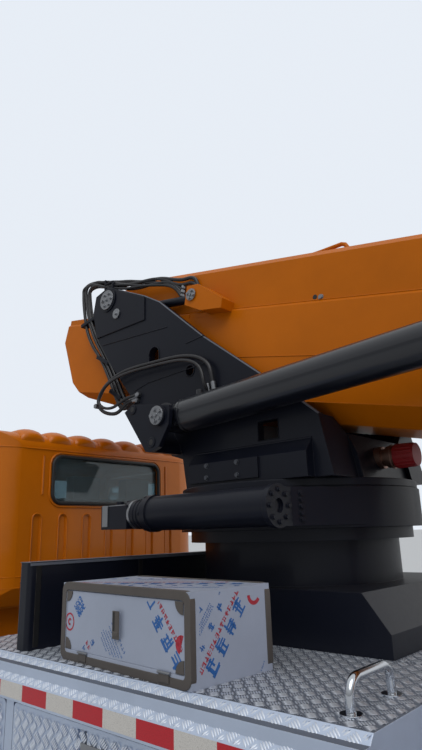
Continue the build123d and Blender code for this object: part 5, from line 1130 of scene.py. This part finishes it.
# Clamps and crimped fittings on the hoses' ends
hose_metal = bmesh.new()
for x, z, way_x, way_z in ((2.65, 2.29, 1.0, 0.04), (2.64, 2.318, 0.97, -0.25), (2.098, 2.24, 0.04, 1.0),
                           (2.132, 2.236, 0.04, 1.0)):
    start = Vector((x - 0.004 * way_x, CLIP_Y, z - 0.004 * way_z))
    rod(hose_metal, start, start + Vector((way_x, 0.14, way_z)) * 0.045, 0.0125, 16)
    rod(hose_metal, (x, PLATE_Y, z), (x, 0.456, z), 0.014, 6)
slab(hose_metal, (2.688, 0.388, 2.284), (2.712, 0.452, 2.308))
rod(hose_metal, (2.966, 0.437, 2.305), (2.966, 0.486, 2.305), 0.014, 6)
build("hose_fittings", hose_metal, plated, "turret", soften=0.0008)
hose_straps = bmesh.new()
for start, end in (((3.034, 2.622), (2.925, 2.56)), ((2.905, 2.392), (2.806, 2.33)),
                   ((3.204, 2.86), (3.07, 2.88))):
    way = Vector((end[0] - start[0], 0, end[1] - start[1]))
    beside = Vector((-way.z, 0, way.x)).normalized() * 0.011
    base = Vector((start[0], BUNDLE_LOW, start[1]))
    prism(hose_straps, [base - beside, base + beside, base + beside + way, base - beside + way],
          (0, 0.048, 0))
for clip_x, clip_z in ((2.975, 3.02), (2.905, 2.99)):
    slab(hose_straps, (clip_x - 0.006, BUNDLE_LOW, clip_z), (clip_x + 0.006, BUNDLE_HIGH, clip_z + 0.078))
slab(hose_straps, (2.899, BUNDLE_LOW, 3.062), (2.981, BUNDLE_HIGH, 3.072))
build("hose_straps", hose_straps, charcoal_paint, "turret", soften=0.002)
bracket_pin = on_boom(0.684, 0.421, -0.025)
bracket_bolts = [(bracket_pin + Vector((0, 0.005, 0)), (0, 1, 0))]
for x, z in circle_points(0, 0, 0.02, 4, start=0.4):
    bracket_bolts.append((bracket_pin + Vector((x, 0.005, z)), (0, 1, 0)))
fasteners("bracket_bolts", bracket_bolts, 0.008, 0.007, "boom_1", plated)
bracket_nuts = bmesh.new()
rod(bracket_nuts, bracket_pin, bracket_pin + Vector((0, 0.005, 0)), 0.032, 28)
for x, z in ((2.392, 2.886), (2.396, 2.862), (2.29, 2.842), (2.4, 2.838)):
    rod(bracket_nuts, (x, 0.334, z), (x + 0.01, 0.352, z + 0.004), 0.015, 6)
build("bracket_nuts", bracket_nuts, plated, "boom_1", soften=0.0008)


# Basket
# Cage of square aluminium tube, its surface drawn and slightly dull.
basket_alloy = coat("basket_alloy", (182, 184, 188), (150, 150, 150), (0.36, 0.3, 0.2), (90, 0.1),
                    metallic=0.9)
dress(basket_alloy, "basket")


# Tool chest
# Stainless sheet box whose protective film is still on it, with generic printed bars, in a frame
# of dull rounded strips round its front and back edges.
film_sheet = coat("film_sheet", (160, 168, 186), (150, 150, 150), (0.32, 0.2, 0.06), (30, 0.15),
                  metallic=0.15)
strip_steel = coat("strip_steel", (96, 90, 86), (130, 126, 120), (0.42, 0.3, 0.2), (180, 0.2), metallic=0.6)
print_blue = coat("print_blue", (28, 96, 168), (90, 130, 180), (0.35, 0.1, 0.05), (100, 0.05))
print_red = coat("print_red", (176, 30, 52), (200, 90, 100), (0.35, 0.1, 0.05), (100, 0.05))
dress(film_sheet, "tool_chest", "tool_chest_door")
CHEST = (0.7, 0.34, 0.255)
chest_frame = Matrix.Translation((1.953, 1.1085, 1.185)) @ Matrix.Rotation(math.radians(-4), 4, "Z")


def chest_strip(shape, y_front, y_back, width, thickness):
    """Strip frame with rounded corners round the chest's section, between two depths."""
    half_x = CHEST[0] / 2 + thickness
    outer = round_loop(half_x, 0.0, CHEST[2] + thickness, 0.03, steps=5)
    inner = round_loop(half_x - width, width, CHEST[2] + thickness - width, 0.014, steps=5)
    skin(shape, [[chest_frame @ Vector((x, y, z)) for x, z in loop] for loop, y in (
        (outer, y_front), (inner, y_front), (inner, y_back), (outer, y_back))], closed=True)


for name, y_front, y_back, width in (("chest_front_strip", 0.003, -0.018, 0.025),
                                     ("chest_back_strip", -CHEST[1] + 0.022, -CHEST[1] - 0.002, 0.03)):
    strips = bmesh.new()
    chest_strip(strips, y_front, y_back, width, 0.002)
    build(name, strips, strip_steel, "chassis")


SQUARE = ((0, 0), (1, 0), (1, 1), (0, 1))
MARK_THICK = 0.0003
MARK_LIFT = 0.00004  # between marks that lie over each other


def mark(shape, places, normal, layer=0):
    """Thin printed shape on the chest, through its corner places."""
    prism(shape, [chest_frame @ (q + normal * layer * MARK_LIFT) for q in places],
          chest_frame.to_3x3() @ (normal * MARK_THICK))


def film_print(shapes, panel, area, tilt, rows, seed):
    """Slanted rows of bar clusters on one panel, which is a corner and its ways along, up and out.

    A row is a distance, a height, a colour, a step between clusters and a span along the run.
    """
    corner, along, up, normal = panel
    dice = random.Random(seed)
    run = along * math.cos(tilt) + up * math.sin(tilt)
    rise = normal.cross(run).normalized()
    if rise.dot(up) < 0:
        rise = -rise
    for distance, height, colour, step, start, stop in rows:
        reach = start
        while reach < stop:
            stroke = max(0.0012, height * 0.11)
            strokes = [(0, height * dice.choice((0.1, 0.45, 0.8)), height * 0.9, stroke)]
            strokes.append((height * dice.choice((0.1, 0.4, 0.7)), 0, stroke * 1.2, height))
            if height > 0.018:
                strokes.append((height * 0.5, height * dice.choice((0.0, 0.4)), stroke * 1.2, height * 0.6))
                strokes.append((height * 0.05, height * dice.choice((0.55, 0.65)), height * 0.8, stroke))
            if height > 0.012:
                strokes.append((0, height * dice.choice((0.0, 0.25, 0.6)), height * 0.8, stroke))
                strokes.append((height * dice.choice((0.2, 0.6)), height * 0.1, stroke * 1.2, height * 0.7))
                strokes.append((height * 0.1, height * dice.choice((0.3, 0.85)), height * 0.6, stroke))
            for layer, (a, b, size_a, size_b) in enumerate(strokes):
                places = [corner + run * (reach + a + p * size_a) + rise * (distance + b + q * size_b)
                          for p, q in SQUARE]
                inside = all(0.003 < (q - corner).dot(along) < area[0] - 0.003
                             and 0.003 < (q - corner).dot(up) < area[1] - 0.003 for q in places)
                if inside:
                    mark(shapes[colour], places, normal, layer)
            reach += step


def film_patch(shape, panel, size, seed):
    """Square patch of small random cells, standing on its corner, centred on a panel's corner."""
    centre, along, up, normal = panel
    dice = random.Random(seed)
    cells = 13
    cell = size / cells * 0.96
    way_a = (along + up) * 0.7071
    way_b = (up - along) * 0.7071
    for row in range(cells):
        for column in range(cells):
            if dice.random() < 0.42:
                continue
            a = (column - cells / 2) * size / cells
            b = (row - cells / 2) * size / cells
            mark(shape, [centre + way_a * (a + p * cell) + way_b * (b + q * cell) for p, q in SQUARE], normal)


def film_ring(shape, panel, outer, inner, start=0.0, stop=360.0):
    """Ring or part of a ring, centred on a panel's corner."""
    centre, along, up, normal = panel
    steps = 28
    for step in range(steps):
        turns = [math.radians(start + (stop - start) * (step + k) / steps) for k in (0, 1)]
        places = [centre + (along * math.cos(t) + up * math.sin(t)) * r
                  for t, r in ((turns[0], inner), (turns[0], outer), (turns[1], outer), (turns[1], inner))]
        mark(shape, places, normal)


def fine_rows(start, stop, *distances):
    """Rows of the smallest clusters, at these distances."""
    return tuple((distance, 0.005, "blue", 0.0065, start, stop) for distance in distances)


def moved(panel, along, up):
    """The same panel with its corner moved."""
    return panel[0] + panel[1] * along + panel[2] * up, *panel[1:]


# On each end a row of large blue clusters with a row of small red ones above it, both along the slant
end_marks = {"blue": bmesh.new(), "red": bmesh.new()}
END_ROWS = (((-0.036, 0.048, "blue", 0.062, -0.01, 0.4), (0.013, 0.016, "red", 0.0175, 0.0, 0.38),
             (0.043, 0.024, "blue", 0.062, 0.02, 0.36))
            + fine_rows(0.1, 0.2, 0.078, 0.086, 0.094) + fine_rows(0.24, 0.33, 0.078, 0.086, 0.094)
            + ((0.11, 0.016, "blue", 0.06, 0.1, 0.36),) + fine_rows(0.0, 0.3, -0.2))
LEFT_END = (Vector((-0.3502, -0.028, 0)), -Y_AXIS, Z_AXIS, -X_AXIS)
RIGHT_END = (Vector((0.3502, -0.308, 0)), Y_AXIS, Z_AXIS, X_AXIS)
for panel, seed in ((LEFT_END, 4), (RIGHT_END, 6)):
    film_print(end_marks, panel, (0.28, 0.25), math.radians(52), END_ROWS, seed)
    film_ring(end_marks["red"], moved(panel, 0.238, 0.226), 0.03, 0.018, 180, 330)
    film_print(end_marks, moved(panel, 0.222, 0.205), (0.05, 0.04), math.radians(57),
               ((0.0, 0.02, "red", 0.03, 0.0, 0.02),), seed + 20)
TOP = (Vector((-0.345, -0.308, 0.2552)), X_AXIS, Y_AXIS, Z_AXIS)
TOP_ROWS = (((-0.21, 0.02, "blue", 0.052, 0.1, 0.7),) + fine_rows(0.1, 0.5, -0.16, -0.15)
            + ((-0.06, 0.016, "red", 0.0175, 0.0, 0.7), (-0.02, 0.046, "blue", 0.058, 0.0, 0.7),
               (0.06, 0.02, "blue", 0.052, 0.0, 0.5)) + fine_rows(0.1, 0.5, 0.12, 0.13))
film_print(end_marks, TOP, (0.69, 0.28), math.radians(28), TOP_ROWS, 9)

door_marks = {"blue": bmesh.new(), "red": bmesh.new()}
DOOR = (Vector((0.322, -0.0008, 0.037)), -X_AXIS, Z_AXIS, Y_AXIS)
DOOR_ROWS = (((0.462, 0.048, "blue", 0.062, 0.098, 0.36), (0.515, 0.016, "red", 0.0175, 0.12, 0.36),
              (0.145, 0.02, "blue", 0.062, 0.075, 0.12), (0.09, 0.02, "blue", 0.062, 0.06, 0.1),
              (0.118, 0.016, "red", 0.0175, 0.06, 0.09))
             + fine_rows(0.1, 0.15, 0.205) + fine_rows(0.09, 0.17, 0.217) + fine_rows(0.09, 0.19, 0.229)
             + fine_rows(0.1, 0.21, 0.241) + fine_rows(0.11, 0.22, 0.253) + fine_rows(0.1, 0.22, 0.265)
             + ((0.283, 0.012, "blue", 0.013, 0.1, 0.21),))
film_print(door_marks, DOOR, (0.644, 0.19), math.radians(-50), DOOR_ROWS, 12)
film_patch(door_marks["blue"], moved(DOOR, 0.085, 0.142), 0.054, 3)
film_ring(door_marks["red"], moved(DOOR, 0.022, 0.088), 0.03, 0.024)
film_ring(door_marks["red"], moved(DOOR, 0.022, 0.088), 0.012, 0.005, 40, 300)
film_ring(door_marks["red"], moved(DOOR, 0.632, 0.076), 0.026, 0.001, 70, 250)
for name, marks, body in (("chest_print", end_marks, "chassis"), ("door_print", door_marks, "chest_door")):
    for colour, finish in (("blue", print_blue), ("red", print_red)):
        build(f"{name}_{colour}", marks[colour], finish, body)

# Corner pads, hinges and latch of the chest's door
corner_pads = bmesh.new()
for pad_x, way_x in ((0.321, -1), (-0.321, 1)):
    for pad_z, way_z in ((0.038, 1), (0.228, -1)):
        quarter = circle_points(0, 0, 0.036, 24)[:7]
        loop = [(pad_x, pad_z)] + [(pad_x + way_x * x, pad_z + way_z * z) for x, z in quarter]
        prism(corner_pads, [(x, -0.0005, z) for x, z in loop], (0, 0.0022, 0))
hinge_leaves = bmesh.new()
hinge_pins = bmesh.new()
for hinge_x in (0.205, -0.235):
    rod(hinge_pins, (hinge_x - 0.028, 0.004, 0.034), (hinge_x + 0.028, 0.004, 0.034), 0.004, 16)
    slab(hinge_leaves, (hinge_x - 0.024, 0.0032, 0.006), (hinge_x + 0.024, 0.0048, 0.032))
latch = bmesh.new()
slab(latch, (-0.019, 0.0085, 0.098), (0.019, 0.0105, 0.182))
slab(latch, (-0.012, 0.01, 0.106), (0.014, 0.0125, 0.12))
# Dark strip in the latch's recess beside its handle: a painted shadow in the recess.
latch_recess_shadow = bmesh.new()
slab(latch_recess_shadow, (0.006, 0.0106, 0.122), (0.015, 0.011, 0.178))
for name, shape, finish, body, soften in (
        ("chest_corner_pads", corner_pads, strip_steel, "chest_door", 0),
        ("chest_hinge_leaves", hinge_leaves, strip_steel, "chassis", 0.0008),
        ("chest_hinge_pins", hinge_pins, plated, "chest_door", 0),
        ("chest_latch", latch, strip_steel, "chest_door", 0.0006),
        ("chest_latch_recess_shadow", latch_recess_shadow, seal_rubber_and_shade, "chest_door", 0)):
    bmesh.ops.transform(shape, matrix=chest_frame, verts=shape.verts)
    build(name, shape, finish, body, soften=soften)
